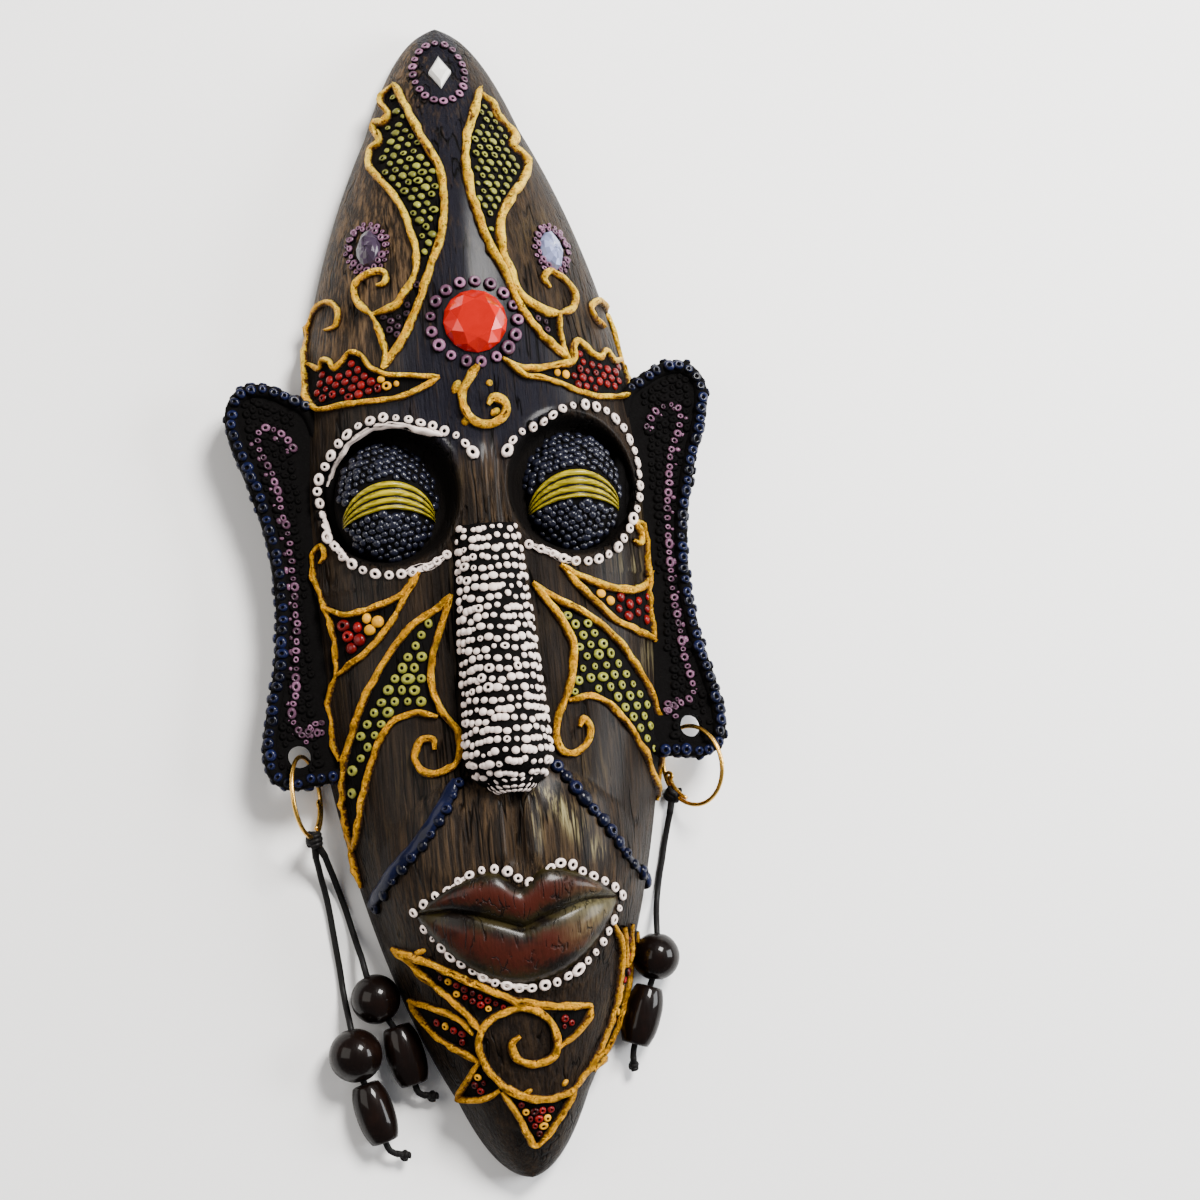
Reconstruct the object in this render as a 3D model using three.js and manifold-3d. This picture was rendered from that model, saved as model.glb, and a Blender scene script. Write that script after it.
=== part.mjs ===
// A small carved wall mask, cast in resin, lying on its back: 185 mm long, hollow behind, with pierced ears,
// sunk eyes, raised scrolls and beading, glued stones, and hoop earrings with beaded cords.
// Millimetres. The flat back rim is z = 0, +Z comes out of the face, +Y runs to the crown tip, and +X is the
// viewer's right. The origin is on the back plane, at mid-length on the middle line.

import * as THREE from "three";
import { mergeVertices } from "three/addons/utils/BufferGeometryUtils.js";
import Module from "manifold-3d";

const wasm = await Module();
wasm.setup();

// Overall sizes of the face.
const LENGTH = 185;
const FACE_WIDTH = 57.4;
const CREST_HEIGHT = 20.5;
const RIM_HEIGHT = 3;
const WIDEST_Y = 5;
const CROWN_ROUNDING = 0.8;
const CHIN_ROUNDING = 0.72;
const TIP_HALF_WIDTH = 1.1;

// The hollow behind.
const WALL = 5;
const TIP_WALL = 9;
const HOLLOW_DEPTH = 10.5;
const HOLLOW_EDGE_DEPTH = 0.6;
const HOLLOW_FULLNESS = 1.6;
const HOLLOW_ROUNDING = 0.6;
const HOLLOW_OVERCUT = 1;

// The carving is drawn on a mask of these sizes and scales with it.
const DRAWN_LENGTH = 185;
const DRAWN_WIDTH = 57.4;
const DRAWN_CREST = 20.5;
const ALONG = LENGTH / DRAWN_LENGTH;
const ACROSS = FACE_WIDTH / DRAWN_WIDTH;
const DEEP = CREST_HEIGHT / DRAWN_CREST;

// Eyes.
const EYE = { x: 14.5, y: 14, halfWidth: 10.8, halfHeight: 11 };
const SOCKET_DEPTH = 4.4;
const SOCKET_FLOOR_SHARE = 0.86;
const EYEBALL = { x: 14.6, y: 12.9, halfWidth: 8.2, halfHeight: 9.8, rise: 5.2 };
const EYEBALL_SINK = 1.2;
const EYE_RING = { x: 14.9, y: 14.1, halfWidth: 11.6, halfHeight: 12.1, beads: 36, start: 154 };
const EYE_RING_SWEEP = -288;
const LID_LINES = 3;
const LID_SPACING = 1.9;
const LID_LOW_Y = 9.4;
const LID_ARCH = 2.6;
const LID_HALF_WIDTH = 7.2;
const LID_PROUD = 0.7;
const LID_GROOVE_SHARE = 0.4;
const LID_TAPER = 0.35;

// Nose.
const NOSE_TOP_Y = 8.2;
const NOSE_TIP_Y = -31;
const NOSE_TOP_HALF_WIDTH = 4.6;
const NOSE_TIP_HALF_WIDTH = 6.9;
const NOSE_TIP_HEIGHT = 28.5;
const NOSE_TOP_HEIGHT = 19;
const NOSE_RIBS = 11;
const NOSE_ROW_PROUD = 0.35;
const NOSE_WIDENING = 0.8;
const NOSE_RISING = 0.9;
const NOSE_FULLNESS = 0.8;
const NOSE_TIP_ROUNDING = { from: 0.86, to: 1.06, least: 0.12 };

// Mouth.
const MUZZLE = { x: 0, y: -47, halfWidth: 21, halfHeight: 18 };
const MUZZLE_RISE = 2;
const MUZZLE_ROUNDING = 0.7;
const MUZZLE_EDGE_SINK = 0.2;
const MUZZLE_OVERLAP = 2.5;
const LIP_HALF_WIDTH = 15.6;
const LIP_END_SHARE = 0.97;
const LIP_RISE = 1.7;
const LIP_FLANK = 0.1;
const LIP_FULLNESS = 0.8;
const LIP_EDGE_SINK = 1;
const MOUTH_Y = -50.6;
const UPPER_LIP = { height: 6, fullness: 0.8, bowDip: 3.2, bowNarrowness: 6 };
const LOWER_LIP = { height: 12, fullness: 0.75 };
const MOUTH_DIP = { depth: 3.4, reach: 0.7, sharpness: 1.2 };
const LIP_BEADS = 32;
const LIP_BEADS_PER_CORNER = 4;
const LIP_BEAD_OFFSET = 0.5;

// Relief lines and beads.
const SCROLL_WIDTH = 1.3;
const SCROLL_PROUD = 0.55;
const CHEEK_RIDGE_WIDTH = 2;
const CHEEK_RIDGE_PROUD = 1;
const RELIEF_SINK = 0.7;
const BEAD_WIDTH = 1.9;
const BEAD_PROUD = 0.8;
const BEADS_PER_CORNER = 3;

// Ears.
const EAR_BACK = 5.6;
const EAR_THICKNESS = 3.8;
const EAR_RECESS = 0.8;
const EAR_RIM_WIDTH = 2.1;
const LOBE_HOLE = { x: 31, y: -24.7, radius: 1.8 };

// Glued stones.
const GEM = { x: 0.6, y: 39.8, radius: 5, height: 3.2, seatBelowCrest: 0.9 };
const GEM_PROFILE = [[0, 0], [0.82, 0], [1, 0.25], [0.72, 0.78], [0.4, 1], [0, 1]];
const GEM_RING = { x: GEM.x, y: GEM.y, halfWidth: 6.9, halfHeight: 6.6, beads: 24 };
const STONE = { x: 14.6, y: 53.8, halfWidth: 1.95, halfHeight: 2.75, height: 1.6 };
const STONE_TABLE_SHARE = 0.62;
const STONE_GIRDLE_SHARE = 0.45;
const TEARDROP_PINCH = 0.35;
const CHIP = { x: -0.5, y: 83.2, halfWidth: 1.8, halfHeight: 3.3, height: 1 };
const CROWN_RING = { x: CHIP.x, y: CHIP.y, halfWidth: 4, halfHeight: 5.8, beads: 20 };
const GLUE_GAP = 0.2;
const POCKET_SPARE = 0.06;
const SEAT_DEPTH = 0.8;

// Earrings.
const HOOP_RADIUS = 6.3;
const WIRE_RADIUS = 0.35;
const KNOT_CLEARANCE = 0.25;
const HOOP_KNOT = { width: 2.4, length: 3.4, outside: 0.4 };
const CORD_DIAMETER = 1;
const CORD_SIDES = 8;
const CORD_STEP = 2.5;
const BORE_RADIUS = 1.05;
const BARREL = { radius: 3, shoulderRadius: 2.82, shoulderShare: 0.62, endRadius: 2.1, length: 9.4 };
const END_KNOT_RADIUS = 0.85;

const RAD = Math.PI / 180;

// Shapes of the outline and the dome.

const halfLength = LENGTH / 2;
const halfFace = FACE_WIDTH / 2;
const widestY = WIDEST_Y * ALONG;

function smoothStep(from, to, value) {
  const t = Math.min(Math.max((value - from) / (to - from), 0), 1);
  return t * t * (3 - 2 * t);
}

// Half the face's width at y, on an outline half as long as reach and half as wide as half.
function outlineHalfWidth(y, half, reach) {
  const up = y > widestY;
  const share = up ? (y - widestY) / (reach - widestY) : (widestY - y) / (reach + widestY);
  const inside = Math.max(1 - Math.min(share, 1) ** 2, 0);
  return half * inside ** (up ? CROWN_ROUNDING : CHIN_ROUNDING);
}

const halfWidthAt = (y) => Math.max(outlineHalfWidth(y, halfFace, halfLength), TIP_HALF_WIDTH);

// The height of the middle line, from the chin tip to the crown tip, as [y, height].
const MIDDLE_LINE = [
  [-92.5, 5],
  [-84, 10.3],
  [-72, 14.2],
  [-58, 17.2],
  [-40, 19.3],
  [-20, 18],
  [4, 17],
  [22, 18.4],
  [40, 20.5],
  [58, 18.4],
  [76, 13.6],
  [87, 9],
  [92.5, 5],
].map(([y, height]) => new THREE.Vector2(y * ALONG, height * DEEP));
const middleLine = new THREE.SplineCurve(MIDDLE_LINE);
const middleSamples = middleLine.getPoints(MIDDLE_LINE.length * 8);

function crestAt(y) {
  const after = middleSamples.findIndex((p) => p.x >= y);
  if (after <= 0) return (after === 0 ? middleSamples[0] : middleSamples.at(-1)).y;
  const a = middleSamples[after - 1];
  const b = middleSamples[after];
  return a.y + ((b.y - a.y) * (y - a.x)) / (b.x - a.x);
}

// The dome of the face: a rounded keel on the crown that broadens into flatter cheeks.
const CROWN_FULLNESS = 1.75;
const CHEEK_FULLNESS = 2.5;
const KEEL_FROM_Y = 15;
const KEEL_TO_Y = 45;
const SIDE_ROUNDING = 0.55;
const RIM_MOST_SHARE = 0.6;

function domeAt(x, y) {
  const share = Math.min(Math.abs(x) / halfWidthAt(y), 1);
  const keel = smoothStep(KEEL_FROM_Y * ALONG, KEEL_TO_Y * ALONG, y);
  const fullness = THREE.MathUtils.lerp(CHEEK_FULLNESS, CROWN_FULLNESS, keel);
  const crest = crestAt(y);
  const rim = Math.min(RIM_HEIGHT, crest * RIM_MOST_SHARE);
  return rim + (crest - rim) * (1 - share ** fullness) ** SIDE_ROUNDING;
}

// The mound between nose and chin that carries the lips.
function muzzleAt(x, y) {
  const u = (x / ACROSS - MUZZLE.x) / MUZZLE.halfWidth;
  const v = (y / ALONG - MUZZLE.y) / MUZZLE.halfHeight;
  return MUZZLE_RISE * Math.max(1 - u * u - v * v, 0) ** MUZZLE_ROUNDING;
}

const faceAt = (x, y) => domeAt(x, y) + muzzleAt(x, y);

function eyeballAt(x, y, side) {
  const u = (x / ACROSS - side * EYEBALL.x) / EYEBALL.halfWidth;
  const v = (y / ALONG - EYEBALL.y) / EYEBALL.halfHeight;
  const floor = domeAt(side * EYEBALL.x * ACROSS, EYEBALL.y * ALONG) - SOCKET_DEPTH - EYEBALL_SINK;
  return floor + (EYEBALL.rise + EYEBALL_SINK) * Math.sqrt(Math.max(1 - u * u - v * v, 0));
}

// Closed meshes, joined and cut as solids.

function geometryFrom(points, faces) {
  const geometry = new THREE.BufferGeometry();
  geometry.setAttribute("position", new THREE.Float32BufferAttribute(points.flat(), 3));
  geometry.setIndex(faces.flat());
  return geometry;
}

function solidFrom(geometry) {
  const bare = geometry.clone();
  bare.deleteAttribute("normal");
  bare.deleteAttribute("uv");
  const merged = mergeVertices(bare, 1e-4);
  const mesh = new wasm.Mesh({
    numProp: 3,
    vertProperties: new Float32Array(merged.attributes.position.array),
    triVerts: new Uint32Array(merged.index.array),
  });
  return new wasm.Manifold(mesh);
}

function geometryOf(solid) {
  const mesh = solid.getMesh();
  const geometry = new THREE.BufferGeometry();
  geometry.setAttribute("position", new THREE.BufferAttribute(mesh.vertProperties, 3));
  geometry.setIndex(new THREE.BufferAttribute(mesh.triVerts, 1));
  geometry.computeVertexNormals();
  return geometry;
}

// Rows of equal length, joined point to point. The end rows are capped, or joined to each other in a loop.
function loft(rows, looped = false) {
  const width = rows[0].length;
  const points = rows.flat();
  const faces = [];
  const lastRow = looped ? rows.length : rows.length - 1;
  for (let row = 0; row < lastRow; row++) {
    const next = ((row + 1) % rows.length) * width;
    for (let i = 0; i < width; i++) {
      const j = (i + 1) % width;
      faces.push([row * width + i, row * width + j, next + j], [row * width + i, next + j, next + i]);
    }
  }
  if (!looped) {
    const last = lastRow * width;
    for (let i = 1; i + 1 < width; i++) faces.push([0, i + 1, i], [last, last + i, last + i + 1]);
  }
  const geometry = geometryFrom(points, faces);
  return solidFrom(geometry).volume() < 0 ? geometryFrom(points, faces.map((f) => f.toReversed())) : geometry;
}

// A solid under a height field over an outline pointed at both ends, down to a flat floor.
function mound(half, reach, heightAt, floor, columns, rowCount) {
  const rows = [];
  for (let row = 0; row <= rowCount; row++) {
    const turn = -1 + (2 * row) / rowCount;
    const y = reach * Math.sin(turn * 90 * RAD);
    const width = Math.max(outlineHalfWidth(y, half, reach), TIP_HALF_WIDTH);
    const ring = [];
    for (let column = 0; column <= columns; column++) {
      const x = width * Math.sin((-1 + (2 * column) / columns) * 90 * RAD);
      ring.push([x, y, heightAt(x, y)]);
    }
    ring.push([width, y, floor], [-width, y, floor]);
    rows.push(ring);
  }
  return solidFrom(loft(rows));
}

// A solid over a ring about a middle point. Its top is a height field of the place and the ring's share.
function ringSolid(outline, centre, shares, topAt, bottomAt) {
  const rows = shares.map((share) =>
    outline.map(([x, y]) => {
      const px = centre[0] + (x - centre[0]) * share;
      const py = centre[1] + (y - centre[1]) * share;
      return [px, py, topAt(px, py, share)];
    }),
  );
  const base = outline.map(([x, y]) => [x, y, bottomAt(x, y)]);
  return solidFrom(loft([...rows, base]));
}

function ellipseOutline(x, y, halfWidth, halfHeight, count) {
  const points = [];
  for (let i = 0; i < count; i++) {
    const angle = (360 / count) * i * RAD;
    points.push([x + halfWidth * Math.cos(angle), y + halfHeight * Math.sin(angle)]);
  }
  return points;
}

// Points on the face, from the drawing.

// The right half was carved a little lower on the crown, and a little higher and wider on the cheeks.
const RIGHT_CROWN_DROP = 1.8;
const RIGHT_CROWN_SHARE = 0.9;
const RIGHT_CHEEK_LIFT = 1.1;
const RIGHT_CHEEK_SHARE = 1.04;

// Relief lines stop short of the side, where the face turns down to the rim.
const SIDE_LIMIT = 0.94;

function kept([x, y]) {
  const most = SIDE_LIMIT * halfWidthAt(y);
  return [Math.min(Math.max(x, -most), most), y];
}

function placed([x, y], side) {
  if (side < 0) return kept([-x * ACROSS, y * ALONG]);
  const crown = smoothStep(36, 56, y);
  const upper = smoothStep(56, 70, y);
  const cheek = smoothStep(0, -12, y);
  const shareX = 1 + (RIGHT_CROWN_SHARE - 1) * upper + (RIGHT_CHEEK_SHARE - 1) * cheek;
  return kept([x * shareX * ACROSS, (y - RIGHT_CROWN_DROP * crown + RIGHT_CHEEK_LIFT * cheek) * ALONG]);
}

function normalAt(x, y, heightAt) {
  const step = 0.2;
  const dx = (heightAt(x + step, y) - heightAt(x - step, y)) / (2 * step);
  const dy = (heightAt(x, y + step) - heightAt(x, y - step)) / (2 * step);
  const steepest = 2.5;
  const limited = new THREE.Vector2(dx, dy).clampLength(0, steepest);
  return new THREE.Vector3(-limited.x, -limited.y, 1).normalize();
}

// A low ridge with a three-sided section that follows the face through its drawn points.
function ridge(path, width, proud, heightAt, looped = false) {
  const count = path.length;
  const rows = path.map(([x, y], i) => {
    const [ax, ay] = path[looped ? (i + count - 1) % count : Math.max(i - 1, 0)];
    const [bx, by] = path[looped ? (i + 1) % count : Math.min(i + 1, count - 1)];
    const here = new THREE.Vector3(x, y, heightAt(x, y));
    const ahead = new THREE.Vector3(bx, by, heightAt(bx, by));
    const along = ahead.sub(new THREE.Vector3(ax, ay, heightAt(ax, ay))).normalize();
    const normal = normalAt(x, y, heightAt);
    const across = new THREE.Vector3().crossVectors(along, normal).normalize();
    const foot = (width + RELIEF_SINK) / 2;
    const left = here.clone().addScaledVector(across, -foot).addScaledVector(normal, -RELIEF_SINK);
    const top = here.clone().addScaledVector(normal, proud);
    const right = here.clone().addScaledVector(across, foot).addScaledVector(normal, -RELIEF_SINK);
    return [left.toArray(), top.toArray(), right.toArray()];
  });
  return solidFrom(loft(rows, looped));
}

// A row of beads round an ellipse, as one ridge with a corner for every few beads.
function beadRing(ring, side, sweepDegrees = 360) {
  const looped = sweepDegrees === 360;
  const count = Math.round(ring.beads / BEADS_PER_CORNER);
  const points = [];
  for (let i = 0; i < count; i++) {
    const turn = ((ring.start ?? 0) + (sweepDegrees * i) / (looped ? count : count - 1)) * RAD;
    const x = side * (ring.x + ring.halfWidth * Math.cos(turn));
    points.push([x * ACROSS, (ring.y + ring.halfHeight * Math.sin(turn)) * ALONG]);
  }
  return ridge(points, BEAD_WIDTH, BEAD_PROUD, faceAt, looped);
}

// Scrolls of one half of the face, drawn on the left half with x counted outwards.
const LEAF_TIP = [7.3, 82];
const LEAF_FOOT = [14, 33.8];
const CURL_FOOT = [14.9, 42.6];
const RED_TIP = [5.5, 31.6];
const TRIANGLE_FOOT = [24.4, -12.8];
const TRIANGLE_TIP = [11, 1.6];
const OLIVE_TIP = [6.3, -2];
const HALF_SCROLLS = {
  leafInner: [LEAF_TIP, [4.9, 73], [2.6, 65.6], [2.3, 58.6], [4.2, 51.6], [8, 43], LEAF_FOOT],
  leafOuter: [
    LEAF_TIP, [10.6, 80.6], [9.7, 76.6], [12.7, 75.6], [12.2, 72.4], [14, 69.4], [12.2, 65.8],
    [9, 60.2], [7.5, 52.3], [8.5, 46.8], CURL_FOOT,
  ],
  leafCurl: [CURL_FOOT, [17, 45.9], [15.9, 49], [13.2, 49.5], [12.2, 47.8]],
  leafStem: [CURL_FOOT, [13.5, 38.4], LEAF_FOOT],
  edgeCurl: [
    [21.7, 41.9], [19.7, 43.2], [20.9, 46.6], [23.8, 45.4], [25, 40.7], [25.3, 34], [23.8, 29.4],
    [18.2, 28.7], [10.5, 29.5], RED_TIP,
  ],
  redLeafTop: [RED_TIP, [13.6, 32.7], [15.8, 34.4], [17.6, 37.1], [20.1, 35.6], [22.4, 36.7], [25, 36]],
  sideSpiral: [[25.1, 4.7], [24.6, 7.4], [26.4, 6.9], [26.4, 1.7], [24.7, -4.5], TRIANGLE_FOOT],
  triangleTop: [[25.2, -2.4], [21.4, -3.7], [16, -2.3], TRIANGLE_TIP],
  triangleLow: [TRIANGLE_TIP, [14.6, -4], [19, -9.1], TRIANGLE_FOOT],
  triangleTail: [TRIANGLE_FOOT, [25.3, -18.6], [24.6, -26]],
  oliveOuter: [
    OLIVE_TIP, [11.6, -5.8], [17.2, -11.2], [21.2, -17.6], [23.8, -25], [24.3, -34.5], [22.9, -44.5],
  ],
  oliveInner: [
    OLIVE_TIP, [9.2, -8.6], [10.8, -14.5], [10.1, -18.8], [7.4, -23.6], [7.9, -27.7], [10.8, -29.3],
    [13.5, -27.4], [12.9, -24.4], [10.9, -24.3],
  ],
  oliveArc: [[10.1, -20.6], [13.6, -19.9], [17, -21.4], [20, -25.6], [21.9, -30.9], [23.6, -38.6]],
};

// Scrolls that cross the middle line, as [x, y] with +x to the right.
const SPIRAL_END = [6.7, -79.2];
const MIDDLE_SCROLLS = {
  browCurl: [[0.7, 33.2], [-1.8, 29.9], [-2, 26.2], [0.4, 23.9], [3.4, 24.3], [4, 27.1], [1.6, 27.4]],
  chinSpiral: [
    SPIRAL_END, [1.4, -80.1], [-3.8, -77.9], [-6.8, -73.9], [-7, -69.3], [-4, -66.5], [0.7, -66.4],
    [3.9, -69], [4, -73], [0.9, -74.9], [-2.2, -73.2], [-1.8, -70.6],
  ],
  spikeOneTop: [[-18.6, -55.6], [-9.5, -60.6], [-0.4, -65.2], [10.1, -66.7]],
  spikeOneLow: [[-18.6, -55.6], [-14, -60.6], [-7, -69.4]],
  spikeTwoTop: [[-16.6, -63.6], [-12, -65.8], [-7.4, -70.6]],
  spikeTwoLow: [[-16.6, -63.6], [-13.2, -68.9], [-7, -73.9]],
  spikeThree: [[-7, -73.6], [-9.6, -79.3]],
  spikeThreeLow: [[-9.6, -79.3], [-4.6, -78.6]],
  spikeFourLeft: [[-3.2, -79], [0.3, -87.4]],
  spikeFourRight: [[0.3, -87.4], [5.9, -79.8]],
  spikeFive: [[10.1, -66.7], [8, -70], [4.4, -72.6]],
  bandInner: [[14.5, -54.7], [15.4, -61.4], [13.9, -68.3], [11.2, -73.6], SPIRAL_END],
  bandOuter: [[19, -56.3], [17.4, -63.8], [13.6, -71.8], [9.6, -76.9]],
};

const CHEEK_RIDGE = [[7.6, -30.4], [10.8, -34.9], [14, -39.2], [17.4, -43], [20.6, -47]];
const PHILTRUM_RIDGE = [[1.9, -33], [1.6, -38], [2.4, -44]];

function onHalves(points, make) {
  return [-1, 1].map((side) => make(points.map((p) => placed(p, side)), side));
}

function scrollSolids() {
  const halves = Object.values(HALF_SCROLLS).flatMap((points) =>
    onHalves(points, (path) => ridge(path, SCROLL_WIDTH, SCROLL_PROUD, faceAt)),
  );
  const middles = Object.values(MIDDLE_SCROLLS).map((points) =>
    ridge(points.map(([x, y]) => kept([x * ACROSS, y * ALONG])), SCROLL_WIDTH, SCROLL_PROUD, faceAt),
  );
  return [...halves, ...middles];
}

// Eyes.

function socketCutter(side) {
  const centre = [side * EYE.x * ACROSS, EYE.y * ALONG];
  const outline = ellipseOutline(...centre, EYE.halfWidth * ACROSS, EYE.halfHeight * ALONG, 18);
  const depthAt = (x, y, share) => domeAt(x, y) + (share === 1 ? SCROLL_PROUD : -SOCKET_DEPTH);
  const above = CREST_HEIGHT * 2;
  return ringSolid(outline, centre, [0.1, 0.5, SOCKET_FLOOR_SHARE, 1], depthAt, () => above);
}

function eyeballSolid(side) {
  const centre = [side * EYEBALL.x * ACROSS, EYEBALL.y * ALONG];
  const outline = ellipseOutline(...centre, EYEBALL.halfWidth * ACROSS, EYEBALL.halfHeight * ALONG, 16);
  const bottom = () => domeAt(...centre) - SOCKET_DEPTH - 2 * EYEBALL_SINK;
  return ringSolid(outline, centre, [0.15, 0.45, 0.72, 0.92, 1], (x, y) => eyeballAt(x, y, side), bottom);
}

// The eyelid: one arched band with a crest for each of its lines.
function lidSolid(side) {
  const rows = [-1, -0.6, 0, 0.6, 1].map((share) => {
    const x = side * (EYEBALL.x + share * LID_HALF_WIDTH) * ACROSS;
    const arch = LID_ARCH * (1 - share * share);
    const spread = LID_SPACING * (1 - LID_TAPER * share * share);
    const crests = [];
    for (let i = 0; i <= 2 * LID_LINES; i++) {
      const y = (LID_LOW_Y + arch + (spread * i) / 2) * ALONG;
      crests.push([x, y, eyeballAt(x, y, side) + (i % 2 ? LID_PROUD : LID_PROUD * LID_GROOVE_SHARE)]);
    }
    const deep = (point) => [point[0], point[1], point[2] - LID_PROUD - RELIEF_SINK];
    return [...crests, deep(crests.at(-1)), deep(crests[0])];
  });
  return solidFrom(loft(rows));
}

// The beaded nose: a half cylinder that widens downwards, ribbed by its rows of beads.
function noseSolid() {
  const sections = NOSE_RIBS * 2;
  const turns = 6;
  const rows = [];
  for (let i = 0; i <= sections; i++) {
    const share = i / sections;
    const y = THREE.MathUtils.lerp(NOSE_TOP_Y, NOSE_TIP_Y, share) * ALONG;
    const turned = smoothStep(NOSE_TIP_ROUNDING.from, NOSE_TIP_ROUNDING.to, share);
    const rounding = Math.sqrt(Math.max(1 - turned ** 2, NOSE_TIP_ROUNDING.least));
    const widened = share ** NOSE_WIDENING;
    const halfWidth = THREE.MathUtils.lerp(NOSE_TOP_HALF_WIDTH, NOSE_TIP_HALF_WIDTH, widened) * ACROSS;
    const top = THREE.MathUtils.lerp(NOSE_TOP_HEIGHT, NOSE_TIP_HEIGHT, share ** NOSE_RISING) * DEEP;
    const foot = faceAt(halfWidth, y) - RELIEF_SINK;
    const proud = i % 2 ? NOSE_ROW_PROUD : 0;
    const row = [];
    for (let j = 0; j <= turns; j++) {
      const angle = (180 / turns) * j * RAD;
      const height = foot + (top - foot) * rounding * Math.sin(angle) ** NOSE_FULLNESS;
      const reach = (halfWidth + proud) * Math.sqrt(rounding);
      row.push([reach * Math.cos(angle), y, height + proud * Math.sin(angle)]);
    }
    rows.push(row);
  }
  return solidFrom(loft(rows));
}

// Lips: two full rolls between the beaded outline and the mouth line.
function upperLipY(share) {
  const bow = UPPER_LIP.bowDip * Math.exp(-((share * UPPER_LIP.bowNarrowness) ** 2));
  return MOUTH_Y + UPPER_LIP.height * (1 - share * share) ** UPPER_LIP.fullness - bow;
}

const lowerLipY = (share) => MOUTH_Y - LOWER_LIP.height * (1 - share * share) ** LOWER_LIP.fullness;

function mouthLineY(share) {
  const near = Math.max(1 - Math.abs(share) / MOUTH_DIP.reach, 0);
  return MOUTH_Y - MOUTH_DIP.depth * near ** MOUTH_DIP.sharpness;
}

function lipRoll(edgeAt) {
  const steps = 12;
  const rows = [];
  for (let i = 0; i <= steps; i++) {
    const share = LIP_END_SHARE * Math.sin((-1 + (2 * i) / steps) * 90 * RAD);
    const x = share * LIP_HALF_WIDTH * ACROSS;
    const from = mouthLineY(share);
    const to = edgeAt(share);
    const row = [0, 0.3, 0.7, 1].map((part) => {
      const y = THREE.MathUtils.lerp(from, to, part) * ALONG;
      const over = LIP_FLANK + (1 - 2 * LIP_FLANK) * part;
      const rise = LIP_RISE * Math.sin(Math.PI * over) ** LIP_FULLNESS;
      return [x, y, faceAt(x, y) + rise - (part === 1 ? LIP_EDGE_SINK : 0)];
    });
    const deep = (y) => [x, y * ALONG, faceAt(x, y * ALONG) - RELIEF_SINK * 2];
    rows.push([...row, deep(to), deep(from)]);
  }
  return solidFrom(loft(rows));
}

function lipOutline(lipY) {
  const count = Math.round(LIP_BEADS / LIP_BEADS_PER_CORNER);
  const points = [];
  for (let i = 0; i <= count; i++) {
    const share = Math.sin((-1 + (2 * i) / count) * 90 * RAD);
    points.push([share * (LIP_HALF_WIDTH + LIP_BEAD_OFFSET) * ACROSS, lipY(share) * ALONG]);
  }
  return ridge(points, BEAD_WIDTH, BEAD_PROUD, faceAt);
}

// Ears: flat plates on the face's sides, with a raised rim, a sunk middle and a pierced lobe.
const EAR_OUTLINE = [
  [24.4, 29], [28.4, 32.5], [32.5, 34.2], [36, 33.8], [38.4, 30.8], [38.4, 26.4], [35.6, 17.4], [33.6, 9],
  [32.9, -1], [33.8, -10], [35.7, -18.2], [36.5, -23], [35.9, -27.6], [33, -29.7], [28.5, -29.3], [23.6, -28],
];
const EAR_CHAIN = [
  [29.2, 24.4], [30.6, 26.8], [33.6, 26.6], [33.6, 23.2], [30.8, 13.6], [30.1, 1], [30.5, -11], [31.6, -18],
];

function plate(points, from, to) {
  const shape = new THREE.Shape(points.map(([x, y]) => new THREE.Vector2(x, y)));
  const geometry = new THREE.ExtrudeGeometry(shape, { depth: to - from, bevelEnabled: false });
  geometry.translate(0, 0, from);
  return solidFrom(geometry);
}

function inset(points, distance) {
  return points.map(([x, y], i) => {
    const [ax, ay] = points.at(i - 1);
    const [bx, by] = points[(i + 1) % points.length];
    const along = new THREE.Vector2(bx - ax, by - ay).normalize();
    return [x + along.y * distance, y - along.x * distance];
  });
}

function earSolid(side) {
  const scaled = EAR_OUTLINE.map(([x, y]) => [x * ACROSS, y * ALONG]);
  const sunk = inset(scaled, EAR_RIM_WIDTH);
  const chain = EAR_CHAIN.map(([x, y]) => [x * ACROSS, y * ALONG]);
  const { radius } = LOBE_HOLE;
  const hole = ellipseOutline(LOBE_HOLE.x * ACROSS, LOBE_HOLE.y * ALONG, radius, radius, 12);
  const flip = (points) => points.map(([x, y]) => [side * x, y]);
  const top = EAR_BACK + EAR_THICKNESS;
  const through = EAR_THICKNESS;
  return plate(flip(scaled), EAR_BACK, top)
    .subtract(plate(flip(sunk), top - EAR_RECESS, top + through))
    .add(ridge(flip(chain), SCROLL_WIDTH, SCROLL_PROUD, () => top - EAR_RECESS))
    .subtract(plate(flip(hole), EAR_BACK - through, top + through));
}

// Stones.

const gemSeat = faceAt(GEM.x * ACROSS, GEM.y * ALONG) - GEM.seatBelowCrest;

function gemGeometry() {
  const profile = GEM_PROFILE.map(([out, up]) => new THREE.Vector2(out * GEM.radius, up * GEM.height));
  const geometry = new THREE.LatheGeometry(profile, 12);
  geometry.rotateX(90 * RAD);
  return geometry;
}

// A flat-backed stone with a bevelled top, on any outline about the origin.
function stoneGeometry(outline, height) {
  const level = (share, z) => outline.map(([x, y]) => [x * share, y * share, z]);
  return loft([level(STONE_TABLE_SHARE, height), level(1, height * STONE_GIRDLE_SHARE), level(1, 0)]);
}

function teardrop(halfWidth, halfHeight) {
  const corners = 12;
  const points = [];
  for (let i = 0; i < corners; i++) {
    const angle = (360 / corners) * i * RAD;
    const pinch = 1 - TEARDROP_PINCH * Math.max(Math.sin(angle), 0) ** 2;
    points.push([halfWidth * Math.cos(angle) * pinch, halfHeight * Math.sin(angle)]);
  }
  return points;
}

function diamond(halfWidth, halfHeight) {
  return [[halfWidth, 0], [0, halfHeight], [-halfWidth, 0], [0, -halfHeight]];
}

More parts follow.
